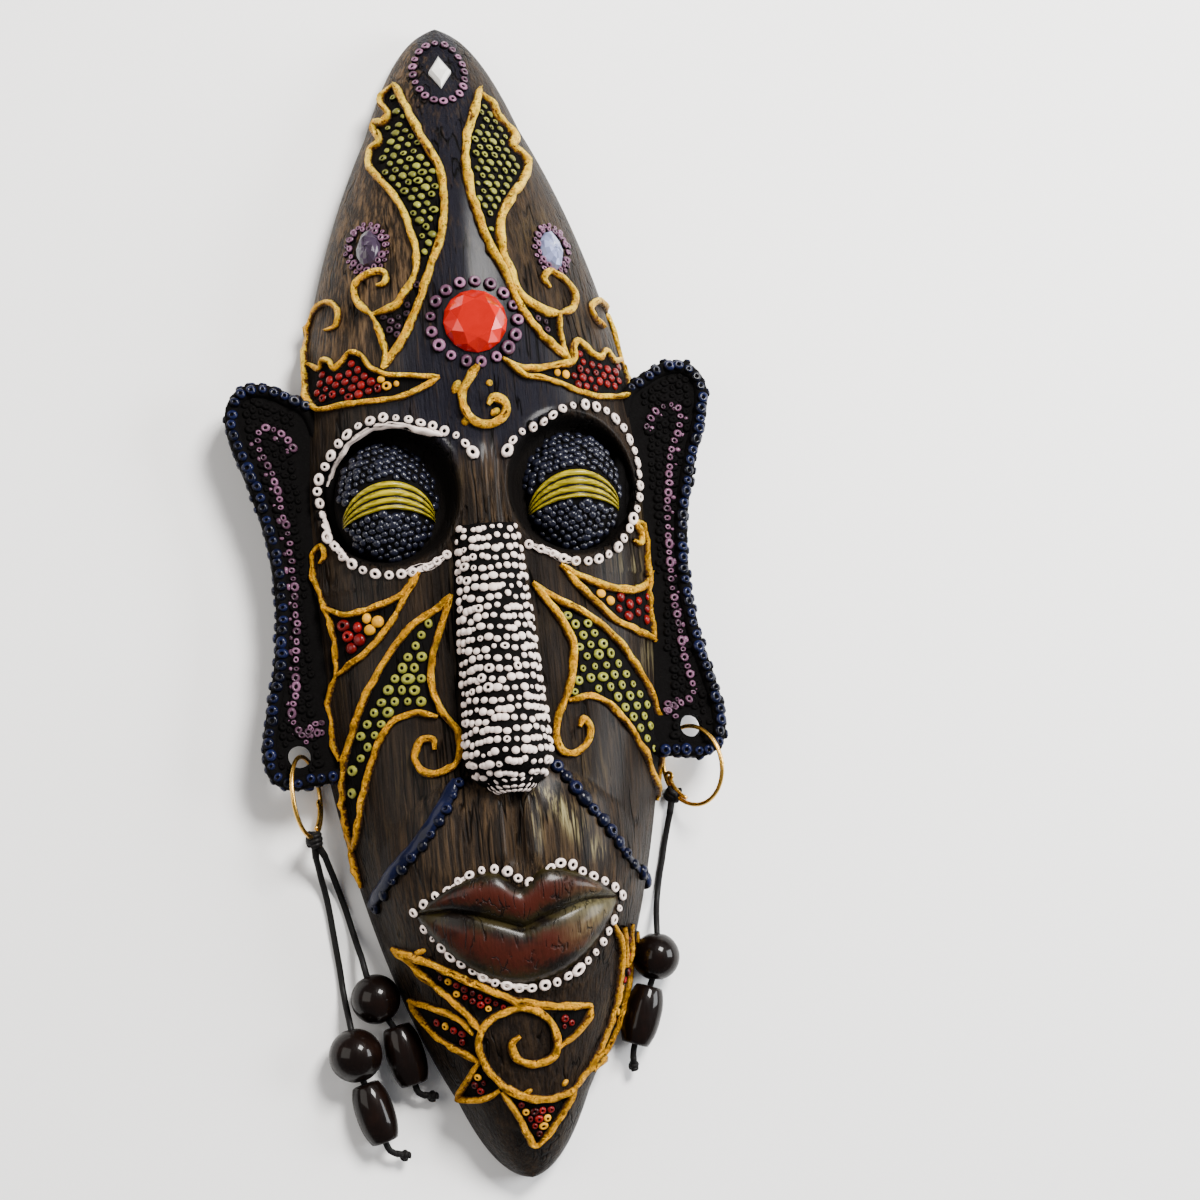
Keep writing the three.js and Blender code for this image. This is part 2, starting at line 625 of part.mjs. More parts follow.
// Where a stone is glued: on the face, tilted with it, over a pocket with a thin glue gap.
function seatMatrix(x, y) {
  const normal = normalAt(x, y, faceAt);
  const turn = new THREE.Quaternion().setFromUnitVectors(new THREE.Vector3(0, 0, 1), normal);
  const place = new THREE.Vector3(x, y, faceAt(x, y)).addScaledVector(normal, -SEAT_DEPTH);
  return new THREE.Matrix4().compose(place, turn, new THREE.Vector3(1, 1, 1));
}

function pocket(outline, matrix) {
  const grown = outline.map(([x, y]) => {
    const grow = 1 + GLUE_GAP / Math.hypot(x, y) + POCKET_SPARE;
    return [x * grow, y * grow];
  });
  const rows = [-GLUE_GAP, CREST_HEIGHT].map((z) => grown.map(([x, y]) => [x, y, z]));
  return solidFrom(loft(rows).applyMatrix4(matrix));
}

const STONE_SEATS = [-1, 1].map((side) => {
  const [x, y] = placed([STONE.x, STONE.y], side);
  return seatMatrix(x, y);
});
const CHIP_SEAT = seatMatrix(CHIP.x * ACROSS, CHIP.y * ALONG);
const stoneOutline = teardrop(STONE.halfWidth, STONE.halfHeight);
const chipOutline = diamond(CHIP.halfWidth, CHIP.halfHeight);

// The body in one casting.

const hollowHalf = halfFace - WALL;
const hollowReach = halfLength - TIP_WALL;

function hollowAt(x, y) {
  const width = Math.max(outlineHalfWidth(y, hollowHalf, hollowReach), TIP_HALF_WIDTH);
  const share = Math.min(Math.abs(x) / width, 1);
  const deepest = HOLLOW_DEPTH * Math.sqrt(Math.max(1 - (y / hollowReach) ** 2, 0));
  return HOLLOW_EDGE_DEPTH + deepest * (1 - share ** HOLLOW_FULLNESS) ** HOLLOW_ROUNDING;
}

function muzzleSolid() {
  const centre = [MUZZLE.x * ACROSS, MUZZLE.y * ALONG];
  const outline = ellipseOutline(...centre, MUZZLE.halfWidth * ACROSS, MUZZLE.halfHeight * ALONG, 16);
  const topAt = (x, y, share) => faceAt(x, y) - (share === 1 ? MUZZLE_EDGE_SINK : 0);
  return ringSolid(outline, centre, [0.1, 0.5, 0.85, 1], topAt, (x, y) => faceAt(x, y) - MUZZLE_OVERLAP);
}

function gemPocket() {
  const radius = GEM.radius + GLUE_GAP;
  const outline = ellipseOutline(GEM.x * ACROSS, GEM.y * ALONG, radius, radius, 16);
  return plate(outline, gemSeat - GLUE_GAP, CREST_HEIGHT * 2);
}

function bodyGeometry() {
  const sockets = [socketCutter(-1), socketCutter(1)];
  const added = [
    muzzleSolid(),
    noseSolid(),
    lipRoll(upperLipY),
    lipRoll(lowerLipY),
    lipOutline((share) => upperLipY(share) + LIP_BEAD_OFFSET),
    lipOutline((share) => lowerLipY(share) - LIP_BEAD_OFFSET),
    ...[-1, 1].flatMap((side) => [
      eyeballSolid(side),
      lidSolid(side),
      earSolid(side),
      beadRing(EYE_RING, side, EYE_RING_SWEEP),
    ]),
    ...onHalves(CHEEK_RIDGE, (path) => ridge(path, CHEEK_RIDGE_WIDTH, CHEEK_RIDGE_PROUD, faceAt)),
    ...onHalves(PHILTRUM_RIDGE, (path) => ridge(path, CHEEK_RIDGE_WIDTH, SCROLL_PROUD, faceAt)),
    ...scrollSolids(),
    beadRing(GEM_RING, 1),
    beadRing(CROWN_RING, 1),
  ];
  const hollows = [
    mound(hollowHalf, hollowReach, hollowAt, -HOLLOW_OVERCUT, 8, 12),
    gemPocket(),
    ...STONE_SEATS.map((seat) => pocket(stoneOutline, seat)),
    pocket(chipOutline, CHIP_SEAT),
  ];
  let solid = mound(halfFace, halfLength, domeAt, 0, 16, 24);
  for (const cut of sockets) solid = solid.subtract(cut);
  for (const part of added) solid = solid.add(part);
  for (const cut of hollows) solid = solid.subtract(cut);
  return geometryOf(solid);
}

// Materials.

function material(color, roughness, metalness = 0) {
  return new THREE.MeshStandardMaterial({ color, roughness, metalness });
}

const CARVED = material(0x2a211b, 0.45);
const RED_GLASS = material(0xe8321f, 0.08);
const LILAC_GLASS = material(0x8c86b0, 0.12);
const CLEAR_GLASS = material(0xe9e4df, 0.08);
const GOLD_WIRE = material(0xd9a441, 0.25, 1);
const WAXED_CORD = material(0x0c0b0b, 0.6);
const DARK_WOOD = material(0x241c1a, 0.25);

function named(name, geometry, look, matrix) {
  const mesh = new THREE.Mesh(geometry, look);
  mesh.name = name;
  if (matrix) mesh.applyMatrix4(matrix);
  return mesh;
}

// Earrings: each hoop hangs from its lobe hole, tilted so that its low side clears the back plane.
const HOOPS = {
  left: { side: -1, lean: 6, pitch: 6.5, tilt: 68, knotTurn: 0 },
  right: { side: 1, lean: 0, pitch: 9, tilt: 54, knotTurn: 45 },
};

function hoopFrame({ side, lean, pitch, tilt }) {
  const middleOfEar = EAR_BACK + (EAR_THICKNESS - EAR_RECESS) / 2;
  const hole = new THREE.Vector3(side * LOBE_HOLE.x * ACROSS, LOBE_HOLE.y * ALONG, middleOfEar);
  const down = new THREE.Vector3(
    -side * Math.sin(lean * RAD),
    -Math.cos(lean * RAD) * Math.cos(pitch * RAD),
    -Math.sin(pitch * RAD),
  ).normalize();
  const out = new THREE.Vector3(side * Math.cos(tilt * RAD), 0, Math.sin(tilt * RAD));
  out.addScaledVector(down, -out.dot(down)).normalize();
  const centre = hole.clone().addScaledVector(down, HOOP_RADIUS);
  const basis = new THREE.Matrix4().makeBasis(down, out, new THREE.Vector3().crossVectors(down, out));
  return basis.setPosition(centre);
}

const hoopTorus = (wire) => new THREE.TorusGeometry(HOOP_RADIUS, wire, 6, 20);

function hoopKnot(hoop) {
  const frame = hoopFrame(hoop);
  const turn = -hoop.knotTurn * RAD;
  const place = new THREE.Vector3(Math.cos(turn), Math.sin(turn), 0);
  place.multiplyScalar(HOOP_RADIUS + HOOP_KNOT.outside);
  const ball = new THREE.SphereGeometry(HOOP_KNOT.width / 2, 8, 6);
  ball.rotateZ(90 * RAD);
  ball.scale(HOOP_KNOT.length / HOOP_KNOT.width, 1, 1);
  ball.rotateZ(turn);
  ball.translate(place.x, place.y, 0);
  const channel = solidFrom(hoopTorus(WIRE_RADIUS + KNOT_CLEARANCE));
  return { geometry: geometryOf(solidFrom(ball).subtract(channel)), frame };
}

// Cord routes, chosen by hand: from the hoop knot down to the table, through the two beads, to the end knot.
const STRANDS = {
  left_a: {
    route: [
      [-29.6, -40.2, 4.3], [-29.2, -41.9, 3], [-28.8, -43.9, 1.7], [-28.3, -46.2, 0.85], [-27.9, -49, 0.6],
      [-27.6, -52, 0.6], [-27.3, -55, 0.6], [-27, -58, 0.6], [-26.8, -60.8, 0.8], [-26.6, -63.2, 1.8],
      [-26.4, -65.2, 3.1], [-26.2, -67, 4], [-26, -69, 4.25], [-25.8, -71.3, 4.25], [-25.3, -73.8, 4.1],
      [-24.7, -75.9, 3.6], [-24.1, -77.9, 3.2], [-23.4, -80.4, 3.1], [-22.7, -83, 3.1], [-22.2, -84.9, 3],
      [-21.5, -86.4, 2.7], [-20.3, -87.1, 2.4],
    ],
    round: { centre: [-25.8, -71.3, 4.25], toward: [0.13, -0.99], radius: 4.15 },
    barrel: { centre: [-23.4, -80.4, 3.05], toward: [0.26, -0.966] },
    endKnot: [-19.2, -87.3, 2.1],
  },
  left_b: {
    route: [
      [-28.2, -40.1, 4.4], [-27.6, -41.8, 3.1], [-26.9, -43.7, 1.8], [-26.2, -45.9, 0.85],
      [-25.5, -48.3, 0.6], [-24.9, -50.8, 0.65], [-24.4, -53, 1.2], [-24, -54.9, 2.3], [-23.6, -56.6, 3.3],
      [-23.3, -58.4, 3.9], [-22.8, -60.6, 3.95], [-22, -63, 3.95], [-21, -65.2, 3.7], [-19.9, -66.9, 3.3],
      [-19.2, -68.4, 3.1], [-18.6, -70.2, 3.05], [-18, -72.05, 3.05], [-17.3, -74.8, 3.05],
      [-16.9, -76.7, 3.05], [-16.4, -78, 2.8], [-15.3, -78.6, 2.5],
    ],
    round: { centre: [-22, -63, 3.95], toward: [0.4, -0.917], radius: 3.85 },
    barrel: { centre: [-18, -72.05, 3.05], toward: [0.23, -0.973] },
    endKnot: [-14.2, -78.7, 2.1],
  },
  right_a: {
    route: [
      [27.5, -38, 1.6], [27.1, -39.6, 1.1], [26.7, -41.3, 0.7], [26.2, -43.2, 0.6], [25.7, -45.3, 0.6],
      [25.1, -47.5, 0.6], [24.6, -49.7, 0.65], [24.1, -51.8, 1.2], [23.7, -53.6, 2.2], [23.4, -55.3, 3.2],
      [23.2, -57, 3.8], [23, -58.7, 3.85], [22.7, -60.5, 3.85], [22.3, -62.6, 3.8], [21.6, -64.5, 3.5],
      [20.9, -66.2, 3.15], [20, -68.7, 3.05], [19.2, -71, 3.05], [18.4, -73.2, 3.05], [17.9, -74.9, 2.8],
      [17.8, -76.1, 2.5],
    ],
    round: { centre: [22.7, -60.5, 3.85], toward: [-0.15, -0.989], radius: 3.75 },
    barrel: { centre: [19.75, -69.45, 3.05], toward: [-0.342, -0.94] },
    endKnot: [17.9, -77.2, 2.1],
  },
};

function cordGeometry(route) {
  const curve = new THREE.CatmullRomCurve3(route.map((p) => new THREE.Vector3(...p)), false, "centripetal");
  const radius = CORD_DIAMETER / 2;
  const round = ellipseOutline(0, 0, radius, radius, CORD_SIDES);
  const section = new THREE.Shape(round.map(([x, y]) => new THREE.Vector2(x, y)));
  const steps = Math.round(curve.getLength() / (CORD_STEP * CORD_DIAMETER));
  return new THREE.ExtrudeGeometry(section, { steps, extrudePath: curve, bevelEnabled: false });
}

// A pierced bead, turned about its bore: profile points are [radius, place along the bore].
function piercedBead(profile, { centre, toward }) {
  const closed = [...profile, profile[0]].map(([r, along]) => new THREE.Vector2(r, along));
  const geometry = new THREE.LatheGeometry(closed, 10);
  const bore = new THREE.Vector3(toward[0], toward[1], 0).normalize();
  const turn = new THREE.Quaternion().setFromUnitVectors(new THREE.Vector3(0, 1, 0), bore);
  const matrix = new THREE.Matrix4().makeRotationFromQuaternion(turn).setPosition(...centre);
  return { geometry, matrix };
}

function roundProfile(radius) {
  const boreAngle = Math.asin(BORE_RADIUS / radius);
  const points = [];
  for (let i = 0; i <= 6; i++) {
    const angle = THREE.MathUtils.lerp(boreAngle, Math.PI - boreAngle, i / 6);
    points.push([radius * Math.sin(angle), -radius * Math.cos(angle)]);
  }
  return points;
}

function barrelProfile() {
  const half = BARREL.length / 2;
  const shoulder = half * BARREL.shoulderShare;
  return [
    [BORE_RADIUS, -half],
    [BARREL.endRadius, -half],
    [BARREL.shoulderRadius, -shoulder],
    [BARREL.radius, 0],
    [BARREL.shoulderRadius, shoulder],
    [BARREL.endRadius, half],
    [BORE_RADIUS, half],
  ];
}

// The whole model.

const mask = new THREE.Group();
const face = new THREE.Group();
face.add(named("mask_body", bodyGeometry(), CARVED));
face.add(
  named(
    "forehead_gem", gemGeometry(), RED_GLASS,
    new THREE.Matrix4().makeTranslation(GEM.x * ACROSS, GEM.y * ALONG, gemSeat),
  ),
);
face.add(named("temple_stone_left", stoneGeometry(stoneOutline, STONE.height), LILAC_GLASS, STONE_SEATS[0]));
face.add(named("temple_stone_right", stoneGeometry(stoneOutline, STONE.height), LILAC_GLASS, STONE_SEATS[1]));
const chip = stoneGeometry(chipOutline, CHIP.height + SEAT_DEPTH);
face.add(named("crown_diamond", chip, CLEAR_GLASS, CHIP_SEAT));
mask.add(face);

for (const [name, hoop] of Object.entries(HOOPS)) {
  const earring = new THREE.Group();
  const knot = hoopKnot(hoop);
  earring.add(named(`ear_hoop_${name}`, hoopTorus(WIRE_RADIUS), GOLD_WIRE, knot.frame));
  earring.add(named(`hoop_knot_${name}`, knot.geometry, WAXED_CORD, knot.frame));
  mask.add(earring);
}

for (const [name, strand] of Object.entries(STRANDS)) {
  const string = new THREE.Group();
  const roundBead = piercedBead(roundProfile(strand.round.radius), strand.round);
  const barrelBead = piercedBead(barrelProfile(), strand.barrel);
  const endKnot = new THREE.SphereGeometry(END_KNOT_RADIUS, 8, 5);
  string.add(named(`cord_${name}`, cordGeometry(strand.route), WAXED_CORD));
  string.add(named(`round_bead_${name}`, roundBead.geometry, DARK_WOOD, roundBead.matrix));
  string.add(named(`barrel_bead_${name}`, barrelBead.geometry, DARK_WOOD, barrelBead.matrix));
  string.add(
    named(`end_knot_${name}`, endKnot, WAXED_CORD, new THREE.Matrix4().makeTranslation(...strand.endKnot)),
  );
  mask.add(string);
}

export default mask;
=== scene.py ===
"""Looks for a small carved wall mask lying on its back.

The fine face, its scrolls, bead work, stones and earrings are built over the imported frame. Sizes in the
drawing are millimetres in the frame's axes: +X to the viewer's right, +Y to the crown tip, +Z out of the
face. Meshes are written in metres.
"""

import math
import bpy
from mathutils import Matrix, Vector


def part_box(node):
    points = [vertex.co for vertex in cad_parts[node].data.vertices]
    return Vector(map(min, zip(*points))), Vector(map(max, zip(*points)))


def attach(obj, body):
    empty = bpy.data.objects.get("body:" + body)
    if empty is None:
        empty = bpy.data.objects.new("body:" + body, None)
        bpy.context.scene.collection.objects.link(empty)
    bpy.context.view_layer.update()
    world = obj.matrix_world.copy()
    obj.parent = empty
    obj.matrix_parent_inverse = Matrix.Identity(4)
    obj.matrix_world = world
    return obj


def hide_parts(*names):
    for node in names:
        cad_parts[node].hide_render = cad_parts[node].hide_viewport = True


bl_info = {
    "name": "Carved wall mask",
    "version": (1, 0, 0),
    "blender": (4, 5, 0),
    "location": "3D View > Sidebar > Mask",
    "description": "Builds the painted, beaded surface of a small carved wall mask and its earrings",
    "category": "Object",
}

from functools import partial

import bpy
import numpy as np
from bpy.props import FloatProperty, FloatVectorProperty, IntProperty, PointerProperty
from mathutils import Matrix, Vector
from mathutils.geometry import tessellate_polygon

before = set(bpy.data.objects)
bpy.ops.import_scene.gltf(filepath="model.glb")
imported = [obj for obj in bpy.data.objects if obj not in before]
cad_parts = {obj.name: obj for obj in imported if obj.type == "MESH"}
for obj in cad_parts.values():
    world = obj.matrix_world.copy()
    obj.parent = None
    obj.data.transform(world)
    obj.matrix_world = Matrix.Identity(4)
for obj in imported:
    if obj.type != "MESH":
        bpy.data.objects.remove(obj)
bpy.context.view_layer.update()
BODY_LOW, BODY_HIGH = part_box("mask_body")

MM = 0.001
SIDES = ((-1, "left"), (1, "right"))
BODY = "root"

# The face, as in the frame.
HALF_LENGTH = (BODY_HIGH[1] - BODY_LOW[1]) / 2 / MM
HALF_FACE = 28.7
RIM_HEIGHT = 3.0
RIM_MOST_SHARE = 0.6
WIDEST_Y = 5.0
CROWN_ROUNDING = 0.8
CHIN_ROUNDING = 0.72
TIP_HALF_WIDTH = 0.06
TIP_RADII = (4.6, 4.2)
CROWN_FULLNESS = 1.75
CHEEK_FULLNESS = 2.5
KEEL_FROM_Y = 15.0
KEEL_TO_Y = 45.0
SIDE_ROUNDING = 0.55
WALL = 5.0
TIP_WALL = 9.0
HOLLOW_DEPTH = 10.5
HOLLOW_EDGE_DEPTH = 0.6
HOLLOW_FULLNESS = 1.6
HOLLOW_ROUNDING = 0.6
MIDDLE_LINE = (
    (-92.5, 5), (-84, 10.3), (-72, 14.2), (-58, 17.2), (-40, 19.3), (-20, 18), (4, 17), (22, 18.4),
    (40, 20.5), (58, 18.4), (76, 13.6), (87, 9), (92.5, 5),
)

# Muzzle, lips and nose.
MUZZLE = {"y": -47.0, "half_width": 21.0, "half_height": 18.0, "rise": 2.0, "rounding": 0.7}
PHILTRUM = {"ends": (-46.5, -42.5, -35.0, -31.0), "ridge_x": 2.3, "ridge": 0.9, "groove": 0.8, "width": 1.1}
BRIDGE = {"ends": (6.0, 9.0, 16.5, 22.5), "half_width": 2.6, "rise": 1.1}
FLUTE = {"x": 0.9, "width": 0.35, "depth": 0.35}
LIP_HALF_WIDTH = 15.6
LIP_END_SHARE = 0.985
LIP_RISE = 1.9
MOUTH_Y = -50.6
UPPER_LIP = {"height": 6.0, "fullness": 0.8, "bow_dip": 3.2, "bow_narrowness": 6.0}
LOWER_LIP = {"height": 12.0, "fullness": 0.75}
MOUTH_DIP = {"depth": 3.4, "reach": 0.7, "sharpness": 1.2}
NOSE_TOP_Y = 8.2
NOSE_TIP_Y = -31.0
NOSE_HALF_WIDTHS = (4.6, 6.9)
NOSE_HEIGHTS = (19.0, 28.0)
NOSE_SINK = 0.7
NOSE_CAP_REACH = 2.2
NOSE_TIP_ROUNDING = {"from": 0.86, "to": 1.06, "least": 0.12}
NOSE_BEAD_ROWS = 25
NOSE_BEADS = {"radius": 0.54, "spread": 0.08, "rise": 0.95, "pierced": 0.12, "joined": 0.24}
NOSE_BEAD_GAPS = {"joined": (0.68, 0.85), "free": (1.2, 1.6)}
TIP_BEADS = {"gap": 1.35, "radius": 0.55, "spread": 0.06, "rise": 0.55, "drops": (0.6, -0.3, -0.9)}

# Eyes.
EYE = {"x": 14.5, "y": 14.0, "half_width": 10.8, "half_height": 11.0, "depth": 4.4, "wall": (0.84, 1.01)}
SOCKET_LIP = {"share": 1.05, "width": 0.05, "rise": 0.35}
EYEBALL = {"x": 14.6, "y": 13.5, "half_width": 8.2, "half_height": 9.8, "rise": 5.2, "sink": 1.2}
LID = {
    "low_y": 9.6, "arch": 1.9, "half_width": 7.5, "height": 4.9, "end_share": 0.6, "proud": 0.8, "lines": 4,
}
EYE_BEADS = {"pitch": 1.12, "turn": 15, "margin": 0.55, "radius": 0.6, "rise": 0.85, "uneven": 0.26}
LID_GAP = (0.3, 0.35)

# Ears, flat plates with a beaded rim.
EAR_BACK = 5.6
EAR_TOP = 9.4
EAR_FLOOR = 8.6
EAR_RIM_WIDTH = 2.1
LOBE_HOLE = {"x": 31.0, "y": -24.7, "radius": 1.8}
EAR_OUTLINE = (
    (24.4, 29), (28.4, 32.5), (32.5, 34.2), (36, 33.8), (38.4, 30.8), (38.4, 26.4), (35.6, 17.4),
    (33.6, 9), (32.9, -1), (33.8, -10), (35.7, -18.2), (36.5, -23), (35.9, -27.6), (33, -29.7),
    (28.5, -29.3), (23.6, -28),
)
EAR_CHAIN = (
    (28.3, 23.8), (29.9, 26.1), (31.6, 26.9), (33.3, 27), (33.9, 25.2), (33.4, 23), (32.5, 21.1),
    (31.7, 18.9), (30.8, 13.4), (30.3, 10.6), (30, 4.2), (29.9, -0.4), (30.1, -5.3), (30.6, -10),
    (30.9, -14.3), (31.8, -18.4), (31.5, -20), (29.9, -21), (28.2, -21.3),
)

# Raised scrolls, drawn as [x, y] from tip to tip.
LEAF_INNER_LEFT = (
    (-7.5, 82.4), (-5.8, 75.6), (-3.8, 69.4), (-2.5, 66), (-2.2, 62.3), (-2.5, 58.1), (-3.6, 53.4),
    (-6, 47.8), (-7.5, 44.1), (-9, 40.7), (-11.1, 37.3), (-14, 33.8),
)
LEAF_OUTER_LEFT = (
    (-7.5, 82.4), (-9.0, 81.5), (-9.7, 79.6), (-8.9, 76.8), (-9.7, 75.6), (-10.9, 76.2), (-11.2, 75.0),
    (-10.8, 72.2), (-12.1, 71.6), (-12.8, 69.2), (-12.0, 66.3), (-11.2, 65), (-9.7, 61.8), (-8.5, 58.6),
    (-7.8, 54.8), (-7.4, 52.2), (-7.7, 48.7), (-9.4, 45.7), (-11.4, 43.4), (-14.9, 42.6),
)
LEAF_INNER_RIGHT = (
    (5.8, 80.3), (4.6, 77.1), (3.4, 73.8), (2.3, 70.4), (1.8, 67.6), (1.7, 64), (2, 60.7), (2.6, 57.5),
    (3.5, 53.7), (4.5, 51), (6.4, 46.6), (8, 41.7), (9.9, 38.9), (12.1, 36.4), (15.1, 33.8),
)
LEAF_OUTER_RIGHT = (
    (6, 79.3), (7.6, 77.9), (8.2, 75.3), (9.8, 74), (10.7, 71.8), (10.1, 70.3), (11.6, 69.1),
    (12.2, 67.5), (11.7, 65.3), (9.9, 62.4), (8.2, 60.3), (6.8, 57.8), (5.9, 54.8), (5.9, 51.4),
    (6.7, 47.9), (8.2, 43.8), (10.2, 42.4), (12.1, 41.3), (14.3, 41.2),
)
CURL_LEFT = (
    (-14.9, 42.6), (-16.8, 45.3), (-17.1, 47.3), (-16, 48.9), (-13.5, 49.6), (-12.3, 48.9),
    (-12.5, 47.4), (-13.6, 47.3),
)
CURL_RIGHT = (
    (14.3, 41.2), (16.4, 41.9), (17.5, 44.1), (16.7, 46.2), (15.1, 47.5), (13.6, 48.2), (12.4, 46.9),
    (13.3, 45.4),
)
STEM_LEFT = ((-14.9, 42.6), (-14.1, 40.4), (-13.6, 38), (-13.2, 35.7), (-14, 33.8))
STEM_RIGHT = ((14.3, 41.2), (14.1, 38.8), (14.3, 36.7), (15.1, 33.8))
EDGE_CURL_LEFT = (
    (-21.7, 41.9), (-20.2, 42.2), (-19.6, 44.3), (-21, 46.7), (-22.9, 46.2), (-24, 43.9), (-24.7, 40.7),
    (-25.1, 36.2), (-25.2, 32.2), (-23.9, 29.3), (-20.7, 29.1), (-16.9, 29), (-13, 28.9), (-9, 29.8),
    (-5.5, 31.5),
)
EDGE_CURL_RIGHT = (
    (22.3, 40), (20.7, 41.2), (20.4, 43.3), (22.1, 44.7), (24.3, 43.8), (25.4, 40.9), (25.9, 37.1),
    (26.2, 33.4), (25.5, 29.4), (19.7, 28), (16.3, 28.7), (13.2, 29.9), (10.1, 30.8), (7.9, 31.1),
    (4.4, 33.9),
)
RED_TOP_LEFT = (
    (-5.5, 31.5), (-8.8, 32), (-13.6, 32.9), (-15.6, 34.2), (-17.1, 36.6), (-18.5, 37.2), (-20.1, 35.8),
    (-21.1, 35.2), (-21.6, 36.6), (-22.6, 37.1), (-23.2, 35.9), (-24.6, 37.4),
)
RED_TOP_RIGHT = (
    (4.4, 33.9), (6.4, 32.6), (9.3, 32.2), (13.4, 32.8), (15.7, 33.4), (16.1, 35.7), (17, 36.9),
    (18.6, 35.8), (20.9, 34.6), (22.2, 36), (23.6, 34.6), (25.5, 35.6),
)
BROW_CURL = (
    (0.7, 33.2), (-1, 31), (-2.1, 29.2), (-2.2, 26.8), (-1.4, 25.1), (0.7, 23.7), (3.4, 24.3), (4.4, 26),
    (3.8, 27.5), (2.4, 27.8), (1.6, 26.8),
)
SPIRAL_LEFT = (
    (-25.4, 5), (-24.7, 6), (-25.1, 7.8), (-26.3, 6.8), (-26.5, 4), (-26.3, 1.7), (-25.2, -1.9),
    (-24.7, -4), (-24.2, -7.4), (-24.4, -12.8),
)
SPIRAL_RIGHT = (
    (23.6, 5.2), (24.7, 4.6), (25.3, 6.2), (24.3, 7.9), (25.9, 7.9), (26.2, 4.8), (25.9, 1),
    (25.8, -2.5), (25.9, -6.6), (26, -11),
)
TRIANGLE_TOP_LEFT = (
    (-25.2, -1.9), (-22.7, -3.6), (-20.2, -3.6), (-17.4, -2.9), (-13.9, -1.6), (-10.9, 1.7),
)
TRIANGLE_LOW_LEFT = (
    (-10.9, 1.7), (-13.6, -2.4), (-16, -6), (-19.3, -9.5), (-22.3, -11.6), (-24.4, -12.8),
)
TRIANGLE_TAIL_LEFT = ((-24.4, -12.8), (-25.7, -16.9), (-25.5, -20.2), (-25.3, -23.1), (-24.6, -26))
TRIANGLE_TOP_RIGHT = ((11.1, 1.3), (13.9, -0.5), (17.9, -2.2), (22.2, -2.9), (25.2, -2), (26.8, 0.3))
TRIANGLE_LOW_RIGHT = ((11.1, 1.3), (13.3, -1.6), (16.3, -4.9), (20, -8.1), (24.2, -9.8), (27.1, -10.7))
OLIVE_OUTER_LEFT = (
    (-6.3, -2.3), (-8.8, -4.3), (-12.8, -6.7), (-16.3, -10.5), (-19, -14.4), (-21.3, -18.5), (-23, -23),
    (-24.2, -26.8), (-24.6, -32.4), (-24.1, -37.8), (-22.7, -45.6),
)
OLIVE_INNER_LEFT = (
    (-6.3, -2.3), (-8.1, -6.7), (-9.9, -11.2), (-10.5, -14.7), (-10, -18.3), (-9, -20.8), (-7.4, -23.1),
    (-7.1, -25.9), (-8.2, -28.6), (-11.1, -29.7), (-13.1, -28.9), (-13.9, -26.3), (-12.7, -24.3),
    (-11, -24.4), (-10.9, -26),
)
OLIVE_ARC_LEFT = (
    (-10, -21.1), (-13.4, -20), (-16.1, -20.8), (-18.1, -22.7), (-19.6, -25.3), (-20.9, -29.3),
    (-21.8, -32), (-22.6, -35.6), (-23.6, -39.9),
)
OLIVE_OUTER_RIGHT = (
    (6.4, -1.3), (8.3, -2.7), (10.7, -4.4), (14.6, -6.7), (17.7, -9.2), (20.3, -12.3), (22.3, -15.4),
    (24.2, -18.6), (25.6, -22.4), (26, -27.5), (25.7, -33.5), (25.4, -36),
)
OLIVE_INNER_RIGHT = (
    (6.4, -1.3), (8.2, -3.8), (10, -6.5), (11.4, -9.6), (11.8, -13.1), (11.1, -16.5), (9.9, -19.4),
    (8.5, -22.3), (7.8, -25.4), (8.4, -27.7), (10.2, -28.3), (12.5, -26.9), (13.4, -24.3), (12.4, -23),
    (11.6, -24.2),
)
OLIVE_ARC_RIGHT = (
    (10.3, -20.1), (14.1, -19.5), (17.1, -21.2), (19.6, -24.1), (21.9, -27.7), (23.6, -31.6),
    (25.4, -35.6),
)
CHIN_SPIRAL = (
    (6.7, -79.2), (3.7, -80.2), (-0.7, -79.7), (-4.2, -77.5), (-6.7, -74.1), (-7.4, -70.4), (-6, -67.7),
    (-3, -66.3), (0.7, -66.4), (3.3, -68.3), (4.4, -71.2), (3.7, -73.7), (0.9, -74.8), (-1.8, -73.8),
    (-2.6, -71.4), (-1.2, -70.3),
)
SPIKE_ONE_TOP = ((-18.9, -55.4), (-14, -58), (-9.4, -60.7), (-1.2, -64.9), (4, -66.2), (10.1, -66.7))
SPIKE_ONE_LOW = ((-18.9, -55.4), (-16.4, -57.9), (-13, -61.9), (-9.7, -65.4), (-7.1, -68.7))
SPIKE_TWO_TOP = ((-16.8, -63.4), (-13.5, -65.1), (-10.2, -66.8), (-8.2, -69.4))
SPIKE_TWO_LOW = ((-16.8, -63.4), (-13.7, -68.9), (-10.4, -71.5), (-7.2, -73.9))
SPIKE_THREE = ((-7.2, -73.4), (-8.8, -75.6), (-10.1, -79), (-7, -79.4), (-4.6, -78.2))
SPIKE_FOUR_LEFT = ((-4.4, -78.4), (-3.2, -80.6), (-1.6, -83.6), (0.3, -87.2), (1.1, -87))
SPIKE_FOUR_RIGHT = ((1.1, -87), (2.7, -85.2), (5.4, -81.6), (7, -79.1))
SPIKE_FIVE = ((10.1, -66.7), (9.3, -68.6), (7.2, -71), (4.6, -72.6))
BAND_INNER = (
    (14.5, -54.7), (15.7, -57.8), (15.4, -62.7), (14.1, -68.3), (12.3, -72.1), (9.4, -76.4),
    (6.7, -79.2),
)
BAND_OUTER = ((19.8, -56.3), (19.4, -58.6), (18, -64.6), (16, -70.2), (13.4, -74.6), (10.2, -76.8))
